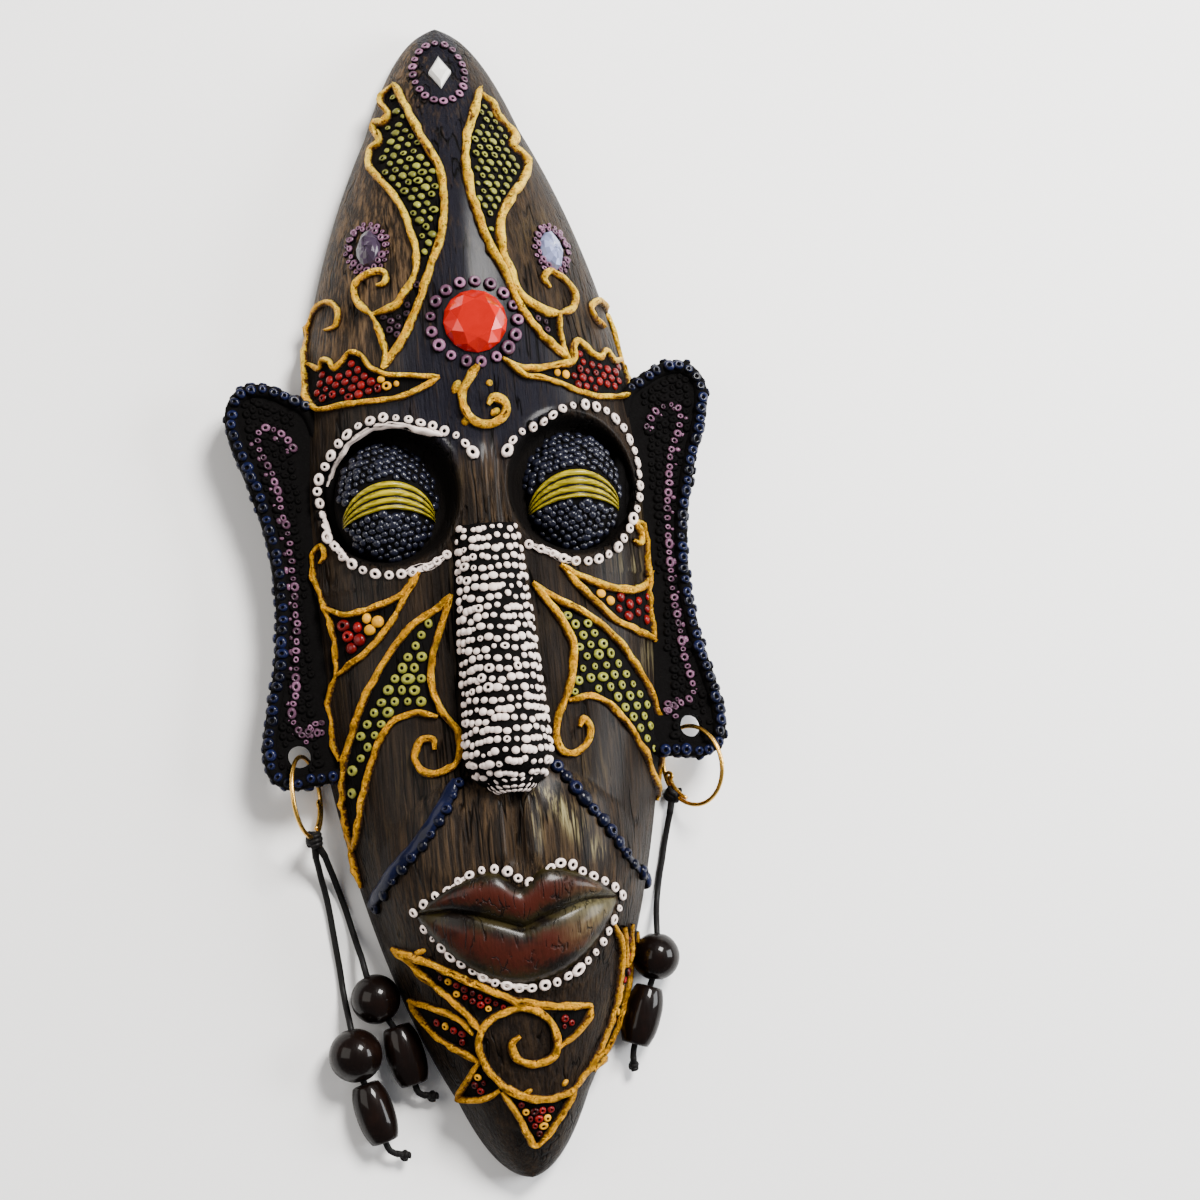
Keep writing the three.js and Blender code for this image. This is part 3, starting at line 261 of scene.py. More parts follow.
CHEEK_RIDGE_LEFT = (
    (-8.2, -31), (-10.8, -35.2), (-13.8, -39.2), (-17.1, -42.6), (-19.2, -44.9), (-21.6, -48.6),
)
CHEEK_RIDGE_RIGHT = (
    (7.6, -30), (10.6, -34.4), (13.6, -38.4), (15.6, -41.2), (17.5, -44.2), (19.9, -46.6), (22.4, -48.4),
)

BAND_PRONGS = (((16.2, -55.2), (16.6, -58), (16.4, -61.4)), ((17.9, -55), (17.9, -58), (17.3, -61.4)))

# Each scroll's points and its width.
SCROLLS = (
    (LEAF_INNER_LEFT, 1.75), (LEAF_OUTER_LEFT, 1.5), (LEAF_INNER_RIGHT, 1.8), (LEAF_OUTER_RIGHT, 2.0),
    (CURL_LEFT, 1.45), (CURL_RIGHT, 1.5), (STEM_LEFT, 1.3), (STEM_RIGHT, 1.2), (EDGE_CURL_LEFT, 1.25),
    (EDGE_CURL_RIGHT, 1.25), (RED_TOP_LEFT, 1.15), (RED_TOP_RIGHT, 1.35), (BROW_CURL, 1.8),
    (SPIRAL_LEFT, 1.0), (SPIRAL_RIGHT, 1.2), (TRIANGLE_TOP_LEFT, 1.25), (TRIANGLE_LOW_LEFT, 1.25),
    (TRIANGLE_TAIL_LEFT, 0.8), (TRIANGLE_TOP_RIGHT, 1.5), (TRIANGLE_LOW_RIGHT, 1.35),
    (OLIVE_OUTER_LEFT, 1.45), (OLIVE_INNER_LEFT, 1.4), (OLIVE_ARC_LEFT, 1.3), (OLIVE_OUTER_RIGHT, 1.3),
    (OLIVE_INNER_RIGHT, 1.55), (OLIVE_ARC_RIGHT, 1.35), (CHIN_SPIRAL, 1.5), (SPIKE_ONE_TOP, 1.5),
    (SPIKE_ONE_LOW, 1.3), (SPIKE_TWO_TOP, 1.2), (SPIKE_TWO_LOW, 1.15), (SPIKE_THREE, 1.15),
    (SPIKE_FOUR_LEFT, 1.4), (SPIKE_FOUR_RIGHT, 1.3), (SPIKE_FIVE, 1.2), (BAND_INNER, 1.4),
    (BAND_OUTER, 1.2), (BAND_PRONGS[0], 1.2), (BAND_PRONGS[1], 1.1),
)

# Gold blobs beside the curls: x, y, half width, half height.
GOLD_BLOBS = (
    (-3.1, 29.8, 0.7, 1.2), (-1.9, 24.5, 0.9, 0.7), (2.1, 30.1, 0.55, 0.55), (2.7, 25.6, 0.9, 0.6),
    (-0.6, -79.0, 0.9, 0.45), (5.4, -78.2, 0.7, 0.5), (-15.3, -56.3, 1.4, 0.5),
)

# Panels of beads between the scrolls: outline, kind of bead, pitch, and turn of the rows in degrees. An
# outline runs along its scrolls, from one of their points to another.
PANELS = (
    (LEAF_INNER_LEFT[:8] + LEAF_OUTER_LEFT[16::-1], "leaf", 1.55, 62),
    (LEAF_INNER_RIGHT[:11] + LEAF_OUTER_RIGHT[14::-1], "leaf", 1.5, 118),
    (LEAF_INNER_LEFT[7:] + STEM_LEFT[::-1] + LEAF_OUTER_LEFT[:15:-1], "black", 1.35, 20),
    (LEAF_INNER_RIGHT[10:] + STEM_RIGHT[::-1] + LEAF_OUTER_RIGHT[:13:-1], "black", 1.35, 160),
    (RED_TOP_LEFT + EDGE_CURL_LEFT[7:], "red", 1.45, 8),
    (RED_TOP_RIGHT + EDGE_CURL_RIGHT[7:], "red", 1.45, 172),
    (TRIANGLE_TOP_LEFT + TRIANGLE_LOW_LEFT, "red", 1.9, 40),
    (TRIANGLE_TOP_RIGHT + TRIANGLE_LOW_RIGHT[::-1], "red", 1.9, 140),
    (OLIVE_OUTER_LEFT[:10] + OLIVE_ARC_LEFT[::-1] + OLIVE_INNER_LEFT[4::-1], "olive", 1.98, 55),
    (OLIVE_OUTER_RIGHT[:11] + OLIVE_ARC_RIGHT[::-1] + OLIVE_INNER_RIGHT[6::-1], "olive", 1.98, 125),
    (SPIKE_ONE_TOP[:5] + ((0.7, -66.6), (-3, -66.6), (-6, -68)) + SPIKE_ONE_LOW[:4][::-1], "ember", 1.3, 30),
    (SPIKE_TWO_TOP + SPIKE_TWO_LOW[::-1], "ember", 1.3, 30),
    (SPIKE_THREE + ((-5.4, -76.6),), "ember", 1.25, 10),
    (SPIKE_FOUR_LEFT + SPIKE_FOUR_RIGHT + ((1, -81),), "ember", 1.3, 0),
    (SPIKE_FIVE + ((4.6, -69.5), (3.6, -67.4)), "ember", 1.25, 20),
    (BAND_OUTER + BAND_INNER[4::-1], "ember", 1.4, 60),
)

# Rows of white beads round the eyes and the lips.
EYE_RING_LEFT = (
    (-1.3, 19.4), (-2.9, 21.8), (-5.2, 23.1), (-8.9, 24.6), (-12, 25.7), (-15, 25.9), (-18.3, 25.2),
    (-22.2, 22.2), (-24.8, 17.6), (-25, 13), (-23.9, 8.4), (-21.3, 4.6), (-17.7, 2.3), (-13.5, 1.6),
    (-9.6, 2.4), (-6.4, 4),
)
EYE_RING_RIGHT = (
    (4.2, 19.4), (5.4, 21.3), (7.7, 22.9), (10.1, 23.9), (12.5, 25.3), (15.4, 26.4), (20.4, 26),
    (23.6, 23.6), (25.5, 20), (26, 15.6), (25.1, 10.4), (22.5, 5.8), (18.8, 2.6), (13.9, 1.8),
    (11.7, 2.5), (6.5, 4.8),
)
LIP_TOP = (
    (-15.8, -50.3), (-14.7, -49.4), (-12.5, -48.1), (-10.5, -47.2), (-7.7, -45.5), (-5.2, -44.8),
    (-2.5, -45.1), (-0.5, -46.5), (1.9, -47.4), (3.7, -46.5), (5.7, -44.9), (8.5, -45.2), (10.2, -46.6),
    (12.1, -47.5), (15.2, -49.3), (16.4, -50.4),
)
LIP_BOTTOM = (
    (15.6, -52.4), (14.2, -54.6), (12.6, -57.2), (10.9, -59), (8.9, -60.6), (5.8, -62.2), (3.5, -62.8),
    (0.6, -63.1), (-2.3, -62.5), (-4.9, -61.6), (-7.7, -59.9), (-10.3, -57.7), (-12.2, -55.6),
    (-14.5, -52.9),
)

# Glued stones.
GEM_RING = {"x": 0.5, "y": 39.8, "half_width": 6.75, "half_height": 6.4, "beads": 17, "radius": 1.02}
CROWN_RING = {"x": -0.5, "y": 83.2, "half_width": 4.0, "half_height": 5.7, "beads": 20, "radius": 0.72}
STONES = ((-14.6, 53.8), (14.6, 52.1))
STONE_HALF = (2.15, 3.2)
STONE_RING = {"half_width": 2.55, "half_height": 3.5, "beads": 15, "radius": 0.66}

# Earrings, as in the frame.
HOOP_RADIUS = 6.3
WIRE_RADIUS = 0.35
EAR_MIDDLE = 7.1
HOOPS = {
    "left": {"side": -1, "lean": 6.0, "pitch": 6.5, "tilt": 68.0},
    "right": {"side": 1, "lean": 0.0, "pitch": 9.0, "tilt": 54.0},
}
KNOT_TURNS = {"left": 0.0, "right": 45.0}
KNOT_OUTSIDE = 0.4
CORD_DIAMETER = 1.0
BORE_RADIUS = 1.05
BARREL = {"radius": 3.0, "end_radius": 2.1, "length": 9.4}
ROUTES = {
    "left_a": (
        (-29.6, -40.2, 4.3), (-29.2, -41.9, 3), (-28.8, -43.9, 1.7), (-28.3, -46.2, 0.85),
        (-27.9, -49, 0.6), (-27.6, -52, 0.6), (-27.3, -55, 0.6), (-27, -58, 0.6), (-26.8, -60.8, 0.8),
        (-26.6, -63.2, 1.8), (-26.4, -65.2, 3.1), (-26.2, -67, 4), (-26, -69, 4.25),
        (-25.8, -71.3, 4.25), (-25.3, -73.8, 4.1), (-24.7, -75.9, 3.6), (-24.1, -77.9, 3.2),
        (-23.4, -80.4, 3.1), (-22.7, -83, 3.1), (-22.2, -84.9, 3), (-21.5, -86.4, 2.7),
        (-20.3, -87.1, 2.4),
    ),
    "left_b": (
        (-28.2, -40.1, 4.4), (-27.6, -41.8, 3.1), (-26.9, -43.7, 1.8), (-26.2, -45.9, 0.85),
        (-25.5, -48.3, 0.6), (-24.9, -50.8, 0.65), (-24.4, -53, 1.2), (-24, -54.9, 2.3),
        (-23.6, -56.6, 3.3), (-23.3, -58.4, 3.9), (-22.8, -60.6, 3.95), (-22, -63, 3.95),
        (-21, -65.2, 3.7), (-19.9, -66.9, 3.3), (-19.2, -68.4, 3.1), (-18.6, -70.2, 3.05),
        (-18, -72.05, 3.05), (-17.3, -74.8, 3.05), (-16.9, -76.7, 3.05), (-16.4, -78, 2.8),
        (-15.3, -78.6, 2.5),
    ),
    "right_a": (
        (27.5, -38, 1.6), (27.1, -39.6, 1.1), (26.7, -41.3, 0.7), (26.2, -43.2, 0.6), (25.7, -45.3, 0.6),
        (25.1, -47.5, 0.6), (24.6, -49.7, 0.65), (24.1, -51.8, 1.2), (23.7, -53.6, 2.2),
        (23.4, -55.3, 3.2), (23.2, -57, 3.8), (23, -58.7, 3.85), (22.7, -60.5, 3.85), (22.3, -62.6, 3.8),
        (21.6, -64.5, 3.5), (20.9, -66.2, 3.15), (20, -68.7, 3.05), (19.2, -71, 3.05),
        (18.4, -73.2, 3.05), (17.9, -74.9, 2.8), (17.8, -76.1, 2.5),
    ),
}
ROUND_BEADS = {
    "left_a": {"centre": (-25.8, -71.3, 4.25), "toward": (0.13, -0.99), "radius": 4.15},
    "left_b": {"centre": (-22.0, -63.0, 3.95), "toward": (0.4, -0.917), "radius": 3.85},
    "right_a": {"centre": (22.7, -60.5, 3.85), "toward": (-0.15, -0.989), "radius": 3.75},
}
BARREL_BEADS = {
    "left_a": {"centre": (-23.4, -80.4, 3.05), "toward": (0.26, -0.966)},
    "left_b": {"centre": (-18.0, -72.05, 3.05), "toward": (0.23, -0.973)},
    "right_a": {"centre": (19.75, -69.45, 3.05), "toward": (-0.342, -0.94)},
}

# The camera, found from the mask's outline in the photograph.
CAMERA_PLACE = (-48.519, -52.644, 413.053)
CAMERA_YAW = 9.361
CAMERA_PITCH = -6.809
CAMERA_ROLL = -5.211
SENSOR_WIDTH = 36.0

# Fineness of the meshes. A grid is its rows and columns.
PATH_STEP = 0.3
ROW_SHARE = 0.87
RIDGE_STEP = 0.45
SLOPE_STEP = 0.2
STEEPEST = 2.5
TINY = 1e-9
ROW_BUNCHING = 0.7
COLUMN_BUNCHING = 0.6
BACK_GRID = (181, 41)
EYEBALL_GRID = (20, 64)
LID_GRID = (49, 61)
NOSE_GRID = (71, 41)
LIP_GRID = (31, 101)


def colour_property(name, description, colour):
    """A colour field with a default."""
    return FloatVectorProperty(
        name=name, description=description, subtype="COLOR", size=3, min=0.0, max=1.0, default=colour,
    )


class MaskShape(bpy.types.PropertyGroup):
    """Sizes of the carving and bead work, in millimetres."""

    scroll_proud: FloatProperty(
        name="Scroll height", description="Height of the gold scrolls, mm", default=0.9, min=0.1,
    )
    scroll_width: FloatProperty(
        name="Scroll width", description="Share of each scroll's drawn width", default=0.84, min=0.2,
    )
    bead_rise: FloatProperty(
        name="Bead height", description="Height of a bead as a share of its radius", default=0.8, min=0.1,
    )
    waver: FloatProperty(
        name="Hand waver", description="Unevenness of the piped lines, as a share", default=0.2, min=0.0,
    )
    face_rows: IntProperty(
        name="Face rows", description="Mesh rows along the face", default=430, min=60, max=460,
    )
    face_columns: IntProperty(
        name="Face columns", description="Mesh columns across the face", default=190, min=30, max=200,
    )
    seed: IntProperty(name="Seed", description="Start of the unevenness", default=7, min=0)


class MaskColours(bpy.types.PropertyGroup):
    """Paint, stone, wire, cord and wood colours."""

    espresso: colour_property("Body", "Dark brown of the body", (0.0062, 0.0040, 0.0028))
    umber: colour_property("Umber", "Brown rubbed over the crown and muzzle", (0.112, 0.066, 0.031))
    ground: colour_property("Panel ground", "Black behind the beads", (0.0035, 0.003, 0.003))
    keel: colour_property("Keel", "Blue black of the crown's middle", (0.0048, 0.0045, 0.0085))
    # A painted highlight, on the right slopes of the face and on the lips.
    cream_highlight: colour_property("Cream", "Rubbed highlight beside the mouth", (0.22, 0.19, 0.09))
    gold: colour_property("Gold", "Scroll paint", (0.74, 0.35, 0.012))
    # Painted highlight of the scrolls, on their lit side and to the upper right.
    gold_highlight: colour_property("Pale gold", "Scroll paint of the upper right", (0.95, 0.66, 0.055))
    gold_deep: colour_property("Deep gold", "Scroll paint in its hollows", (0.085, 0.030, 0.002))
    olive: colour_property("Olive", "Beads of the leaves", (0.25, 0.25, 0.035))
    red: colour_property("Red", "Beads of the triangles", (0.20, 0.0035, 0.004))
    white: colour_property("White", "Beads round the eyes, mouth and nose", (0.84, 0.70, 0.64))
    navy: colour_property("Navy", "Beads of the ears and cheeks", (0.0045, 0.0075, 0.038))
    lilac: colour_property("Lilac", "Beads of the stone rings and ear chains", (0.24, 0.105, 0.185))
    lid: colour_property("Eyelid", "Yellow green of the eyelids", (0.42, 0.33, 0.006))
    lip: colour_property("Lip", "Red brown of the lips", (0.036, 0.0068, 0.0038))
    lip_olive: colour_property("Lip olive", "Olive rubbed into the lips", (0.018, 0.0135, 0.004))
    eyeball: colour_property("Eyeball", "Blue black beads of the eyeballs", (0.0084, 0.0091, 0.0182))
    gem: colour_property("Gem", "Forehead stone", (0.50, 0.005, 0.0008))
    stone_left: colour_property("Left stone", "Left temple stone", (0.034, 0.021, 0.040))
    stone_right: colour_property("Right stone", "Right temple stone", (0.20, 0.225, 0.38))
    chip: colour_property("Crown chip", "Diamond chip near the tip", (0.80, 0.77, 0.73))
    wire: colour_property("Wire", "Hoop wire", (0.80, 0.46, 0.09))
    cord: colour_property("Cord", "Waxed cord", (0.0045, 0.004, 0.004))
    wood: colour_property("Wood bead", "Stained wooden beads", (0.0026, 0.0014, 0.0011))
    floor: colour_property("Floor", "Table top", (0.99, 0.985, 0.98))


class StudioSettings(bpy.types.PropertyGroup):
    """Camera and lights."""

    lens: FloatProperty(name="Lens", description="Focal length, mm", default=77.92, min=10.0)
    key: FloatProperty(name="Key light", description="Power of the large light, W", default=12.0, min=0.0)
    sheen: FloatProperty(name="Side light", description="Power of the right light, W", default=5.6, min=0.0)
    fill: FloatProperty(name="Fill", description="Strength of the surrounding light", default=0.26, min=0.0)


# Surfaces of the face, on arrays of millimetres.


def smooth_step(start, end, value):
    """0 before start, 1 after end, and a smooth rise between."""
    share = np.clip((value - start) / (end - start), 0.0, 1.0)
    return share * share * (3.0 - 2.0 * share)


def span(value, start, full, fading, end):
    """1 from full to fading, and 0 before start and after end."""
    return smooth_step(start, full, value) * (1.0 - smooth_step(fading, end, value))


def hump(value, centre, width):
    """1 at a centre, and next to 0 two widths from it."""
    return np.exp(-(((value - centre) / width) ** 2))


def shares_across(count, bunching=1.0):
    """Shares from -1 to 1, bunched together towards both ends."""
    even = np.linspace(-1, 1, count)
    return bunching * np.sin(even * math.pi / 2) + (1 - bunching) * even


def full_turn(count):
    """Angles at equal steps round a circle."""
    return np.linspace(0, 2 * math.pi, count, endpoint=False)


def unit(vectors):
    """Vectors made one long."""
    return vectors / np.maximum(np.linalg.norm(vectors, axis=-1, keepdims=True), TINY)


def run_lengths(path):
    """How far along a path each of its points is."""
    return np.concatenate([[0.0], np.cumsum(np.linalg.norm(np.diff(path, axis=0), axis=1))])


def half_width_at(y, half=HALF_FACE, reach=HALF_LENGTH):
    """Half the width at y of an outline pointed at both ends."""
    up = y > WIDEST_Y
    share = np.where(up, (y - WIDEST_Y) / (reach - WIDEST_Y), (WIDEST_Y - y) / (reach + WIDEST_Y))
    inside = np.clip(1.0 - share**2, 0.0, 1.0)
    return half * np.where(up, inside**CROWN_ROUNDING, inside**CHIN_ROUNDING)


def outline_half_at(y):
    """Half the mask's width at y, with the crown's and the chin's tips rounded off."""
    radius = np.where(y > 0, *TIP_RADII)
    rounded = np.sqrt(2 * radius * np.clip(HALF_LENGTH - np.abs(y), 0, None))
    return np.maximum(np.maximum(half_width_at(y), rounded), TIP_HALF_WIDTH)


def middle_line():
    """The middle line's [y, height] samples, on a spline through its points."""
    points = np.array(MIDDLE_LINE, float)
    before = np.vstack([points[:1], points[:-1]])
    after = np.vstack([points[1:], points[-1:]])
    tangents = (after - before) / 2
    share = np.linspace(0, 1, 9)[:-1, None]
    samples = []
    for i in range(len(points) - 1):
        a, b = points[i], points[i + 1]
        cubic = (2 * a - 2 * b + tangents[i] + tangents[i + 1]) * share**3
        square = (3 * b - 3 * a - 2 * tangents[i] - tangents[i + 1]) * share**2
        samples.append(cubic + square + tangents[i] * share + a)
    return np.vstack([*samples, points[-1:]])


MIDDLE_SAMPLES = middle_line()


def dome_at(x, y):
    """A rounded keel on the crown that broadens into flatter cheeks."""
    share = np.clip(np.abs(x) / outline_half_at(y), 0.0, 1.0)
    keel = smooth_step(KEEL_FROM_Y, KEEL_TO_Y, y)
    fullness = CHEEK_FULLNESS + (CROWN_FULLNESS - CHEEK_FULLNESS) * keel
    crest = np.interp(y, MIDDLE_SAMPLES[:, 0], MIDDLE_SAMPLES[:, 1])
    rim = np.minimum(RIM_HEIGHT, crest * RIM_MOST_SHARE)
    return rim + (crest - rim) * (1.0 - share**fullness) ** SIDE_ROUNDING


def face_at(x, y):
    """The face with its muzzle, before anything is carved in it."""
    u = x / MUZZLE["half_width"]
    v = (y - MUZZLE["y"]) / MUZZLE["half_height"]
    return dome_at(x, y) + MUZZLE["rise"] * np.clip(1.0 - u * u - v * v, 0.0, 1.0) ** MUZZLE["rounding"]


def eye_share(x, y):
    """How far a place is from the middle of the nearer eye, 1 at the socket's edge."""
    return np.hypot((np.abs(x) - EYE["x"]) / EYE["half_width"], (y - EYE["y"]) / EYE["half_height"])


def carved_at(x, y):
    """The face with the eye sockets, the bridge between them and the groove over the lip."""
    near_eye = eye_share(x, y)
    socket = EYE["depth"] * (1.0 - smooth_step(*EYE["wall"], near_eye))
    rounded_edge = SOCKET_LIP["rise"] * hump(near_eye, SOCKET_LIP["share"], SOCKET_LIP["width"])
    ridges = PHILTRUM["ridge"] * hump(np.abs(x), PHILTRUM["ridge_x"], PHILTRUM["width"])
    groove = PHILTRUM["groove"] * hump(x, 0, PHILTRUM["width"])
    bridge = BRIDGE["rise"] * np.sqrt(np.clip(1.0 - (x / BRIDGE["half_width"]) ** 2, 0.0, 1.0))
    flute = FLUTE["depth"] * hump(x, FLUTE["x"], FLUTE["width"])
    over_lip = span(y, *PHILTRUM["ends"]) * (ridges - groove)
    return face_at(x, y) - socket + rounded_edge + over_lip + span(y, *BRIDGE["ends"]) * (bridge - flute)


def eyeball_at(x, y, side):
    """The eyeball of one side."""
    u = (x - side * EYEBALL["x"]) / EYEBALL["half_width"]
    v = (y - EYEBALL["y"]) / EYEBALL["half_height"]
    centre = dome_at(np.array(side * EYEBALL["x"]), np.array(EYEBALL["y"]))
    floor = centre - EYE["depth"] - EYEBALL["sink"]
    return floor + (EYEBALL["rise"] + EYEBALL["sink"]) * np.sqrt(np.clip(1.0 - u * u - v * v, 0.0, 1.0))


def normals_on(surface, x, y):
    """Unit normals of a height surface, with very steep ones eased."""
    dx = (surface(x + SLOPE_STEP, y) - surface(x - SLOPE_STEP, y)) / (2 * SLOPE_STEP)
    dy = (surface(x, y + SLOPE_STEP) - surface(x, y - SLOPE_STEP)) / (2 * SLOPE_STEP)
    ease = np.minimum(1.0, STEEPEST / np.maximum(np.hypot(dx, dy), TINY))
    return unit(np.stack([-dx * ease, -dy * ease, np.ones_like(dx)], -1))


# Paths and polygons.


def through(points, step, looped=False):
    """Points about a step apart on a smooth curve through the given ones."""
    points = np.array(points, float)
    if looped:
        ends = np.vstack([points[-1:], points, points[:2]])
    else:
        ends = np.vstack([2 * points[:1] - points[1:2], points, 2 * points[-1:] - points[-2:-1]])
    samples = []
    for p0, p1, p2, p3 in zip(ends, ends[1:], ends[2:], ends[3:]):
        t1 = np.linalg.norm(p1 - p0) ** 0.5
        t2 = t1 + np.linalg.norm(p2 - p1) ** 0.5
        t3 = t2 + np.linalg.norm(p3 - p2) ** 0.5
        count = max(2, math.ceil(np.linalg.norm(p2 - p1) / step))
        t = np.linspace(t1, t2, count, endpoint=False)[:, None]
        a1 = (t1 - t) / t1 * p0 + t / t1 * p1
        a2 = (t2 - t) / (t2 - t1) * p1 + (t - t1) / (t2 - t1) * p2
        a3 = (t3 - t) / (t3 - t2) * p2 + (t - t2) / (t3 - t2) * p3
        b1 = (t2 - t) / t2 * a1 + t / t2 * a2
        b2 = (t3 - t) / (t3 - t1) * a2 + (t - t1) / (t3 - t1) * a3
        samples.append((t2 - t) / (t2 - t1) * b1 + (t - t1) / (t2 - t1) * b2)
    if not looped:
        samples.append(points[-1:])
    return np.vstack(samples)


def spaced(path, gap):
    """Points at equal distances along a path, about a gap apart."""
    lengths = run_lengths(path)
    count = max(2, round(lengths[-1] / gap) + 1)
    places = np.linspace(0, lengths[-1], count)
    return np.stack([np.interp(places, lengths, path[:, i]) for i in range(path.shape[1])], -1)


def places_along(path, gap):
    """Places at equal distances along a drawn path, about a gap apart, and the path's direction at each."""
    places = spaced(through(path, PATH_STEP), gap)
    return places, np.gradient(places, axis=0)


def ring_path(centre_x, centre_y, half_width, half_height, count=24):
    """Points round an ellipse."""
    turn = full_turn(count)
    return np.column_stack([centre_x + half_width * np.cos(turn), centre_y + half_height * np.sin(turn)])


def at_height(places, height):
    """[x, y] places with a height of their own or one for all."""
    return np.column_stack([places, np.broadcast_to(height, len(places))])


def inside(polygon, x, y):
    """Whether places lie in a polygon."""
    found = np.zeros(np.shape(x), bool)
    for (ax, ay), (bx, by) in zip(polygon, np.roll(polygon, -1, axis=0)):
        if ay == by:
            continue
        crosses = (ay > y) != (by > y)
        found ^= crosses & (x < (bx - ax) * (y - ay) / (by - ay) + ax)
    return found


def edge_distance(polygon, points):
    """Each point's distance from a polygon's outline."""
    start = polygon[None, :, :]
    run = np.roll(polygon, -1, axis=0)[None, :, :] - start
    offset = points[:, None, :] - start
    length = np.maximum((run * run).sum(-1), TINY)
    share = np.clip((offset * run).sum(-1) / length, 0.0, 1.0)
    return np.linalg.norm(offset - run * share[..., None], axis=-1).min(axis=1)


def filled(polygon, pitch, turn, margin):
    """Staggered rows of places in a polygon, kept a margin from its outline."""
    polygon = np.array(polygon, float)
    middle = polygon.mean(axis=0)
    reach = np.abs(polygon - middle).max() * 1.5
    rows = np.arange(-reach, reach, pitch * ROW_SHARE)
    x, y = np.meshgrid(np.arange(-reach, reach, pitch), rows)
    x = x + (np.arange(len(rows)) % 2)[:, None] * pitch / 2
    cos, sin = math.cos(math.radians(turn)), math.sin(math.radians(turn))
    points = np.stack([middle[0] + x * cos - y * sin, middle[1] + x * sin + y * cos], -1).reshape(-1, 2)
    points = points[inside(polygon, points[:, 0], points[:, 1])]
    return points[edge_distance(polygon, points) > margin]


# Meshes.


def grid_faces(rows, columns, looped=False):
    """Four-sided faces of a grid of points, joined round in its columns or not."""
    row = np.arange(rows - 1)[:, None] * columns
    column = np.arange(columns if looped else columns - 1)[None, :]
    after = (column + 1) % columns
    corners = [row + column, row + after, row + columns + after, row + columns + column]
    return np.stack(corners, -1).reshape(-1, 4)


def last_ring(rows, columns):
    """The points of a grid's last row."""
    return [(rows - 1) * columns + i for i in range(columns)]


def joining_faces(rows, columns):
    """Faces from a looped grid's last row back to its first."""
    last = last_ring(rows, columns)
    return [[last[i], last[(i + 1) % columns], (i + 1) % columns, i] for i in range(columns)]


def piece(name, points, faces, material, marks=None, smooth=True, replaces=()):
    """A mesh object from points in millimetres, riding on the body, with a value per point for each mark."""
    mesh = bpy.data.meshes.new(name)
    mesh.from_pydata((np.asarray(points, float) * MM).tolist(), [], [list(map(int, f)) for f in faces])
    mesh.validate()
    mesh.update()
    mesh.polygons.foreach_set("use_smooth", [smooth] * len(mesh.polygons))
    for mark, values in (marks or {}).items():
        attribute = mesh.attributes.new(mark, "FLOAT", "POINT")
        attribute.data.foreach_set("value", np.asarray(values, np.float32))
    mesh.materials.append(material)
    made = bpy.data.objects.new(name, mesh)
    bpy.context.scene.collection.objects.link(made)
    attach(made, BODY)
    if replaces:
        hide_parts(*replaces)
    return made


class Parts:
    """Points, faces and marks of many small forms, gathered for one mesh."""

    def __init__(self, *marks):
        self.points = []
        self.faces = []
        self.marks = {mark: [] for mark in marks}
        self.count = 0

    def add(self, points, faces, **marks):
        """Adds one form, whose marks are a number or one number per point."""
        points = np.asarray(points, float).reshape(-1, 3)
        self.points.append(points)
        self.faces.extend((np.asarray(face) + self.count).tolist() for face in faces)
        for mark, gathered in self.marks.items():
            values = np.asarray(marks.get(mark, 0.5), float)
            gathered.append(np.broadcast_to(values, len(points)))
        self.count += len(points)

    def made(self, name, material, slot, smooth=True, replaces=()):
        """The gathered forms as one piece."""
        marks = {mark: np.concatenate(values) for mark, values in self.marks.items()}
        return piece(name, np.vstack(self.points), self.faces, material, marks, smooth, replaces)


# A relief mesh has three marks: lift, 0 in a hollow to 1 on a crest, tone, each form's own, and lit, 1 on the
# side that faces the light, for painted light and shade. A bead's profile is a share of its radius, a share
# of its height, and its lift.
RELIEF_MARKS = ("lift", "tone", "lit")
# The direction in the face's plane from which light is painted on the relief.
PAINTED_LIGHT_SIDE = np.array([0.72, 0.69])
PIERCED_BEAD = (
    (1.02, -0.6, 0.0), (1.02, 0.1, 0.1), (0.92, 0.58, 0.55), (0.7, 0.95, 1.0), (0.46, 0.97, 1.0),
    (0.32, 0.65, 0.4), (0.24, 0.1, 0.0), (0.05, 0.0, 0.0),
)
DIMPLED_BEAD = (
    (1.0, -0.6, 0.0), (1.0, 0.15, 0.25), (0.9, 0.6, 0.8), (0.64, 0.92, 1.0), (0.42, 0.96, 0.85),
    (0.26, 0.75, 0.2), (0.14, 0.5, 0.0), (0.03, 0.45, 0.0),
)
ROUND_BEAD = (
    (1.0, -0.6, 0.0), (1.0, 0.15, 0.3), (0.88, 0.58, 0.85), (0.6, 0.88, 1.0), (0.28, 0.99, 1.0),
    (0.05, 1.0, 1.0),
)
BEAD_SIDES = 12
BEAD_LIMITS = (0.8, 1.2)
STRETCH_LIMITS = (0.8, 1.3)


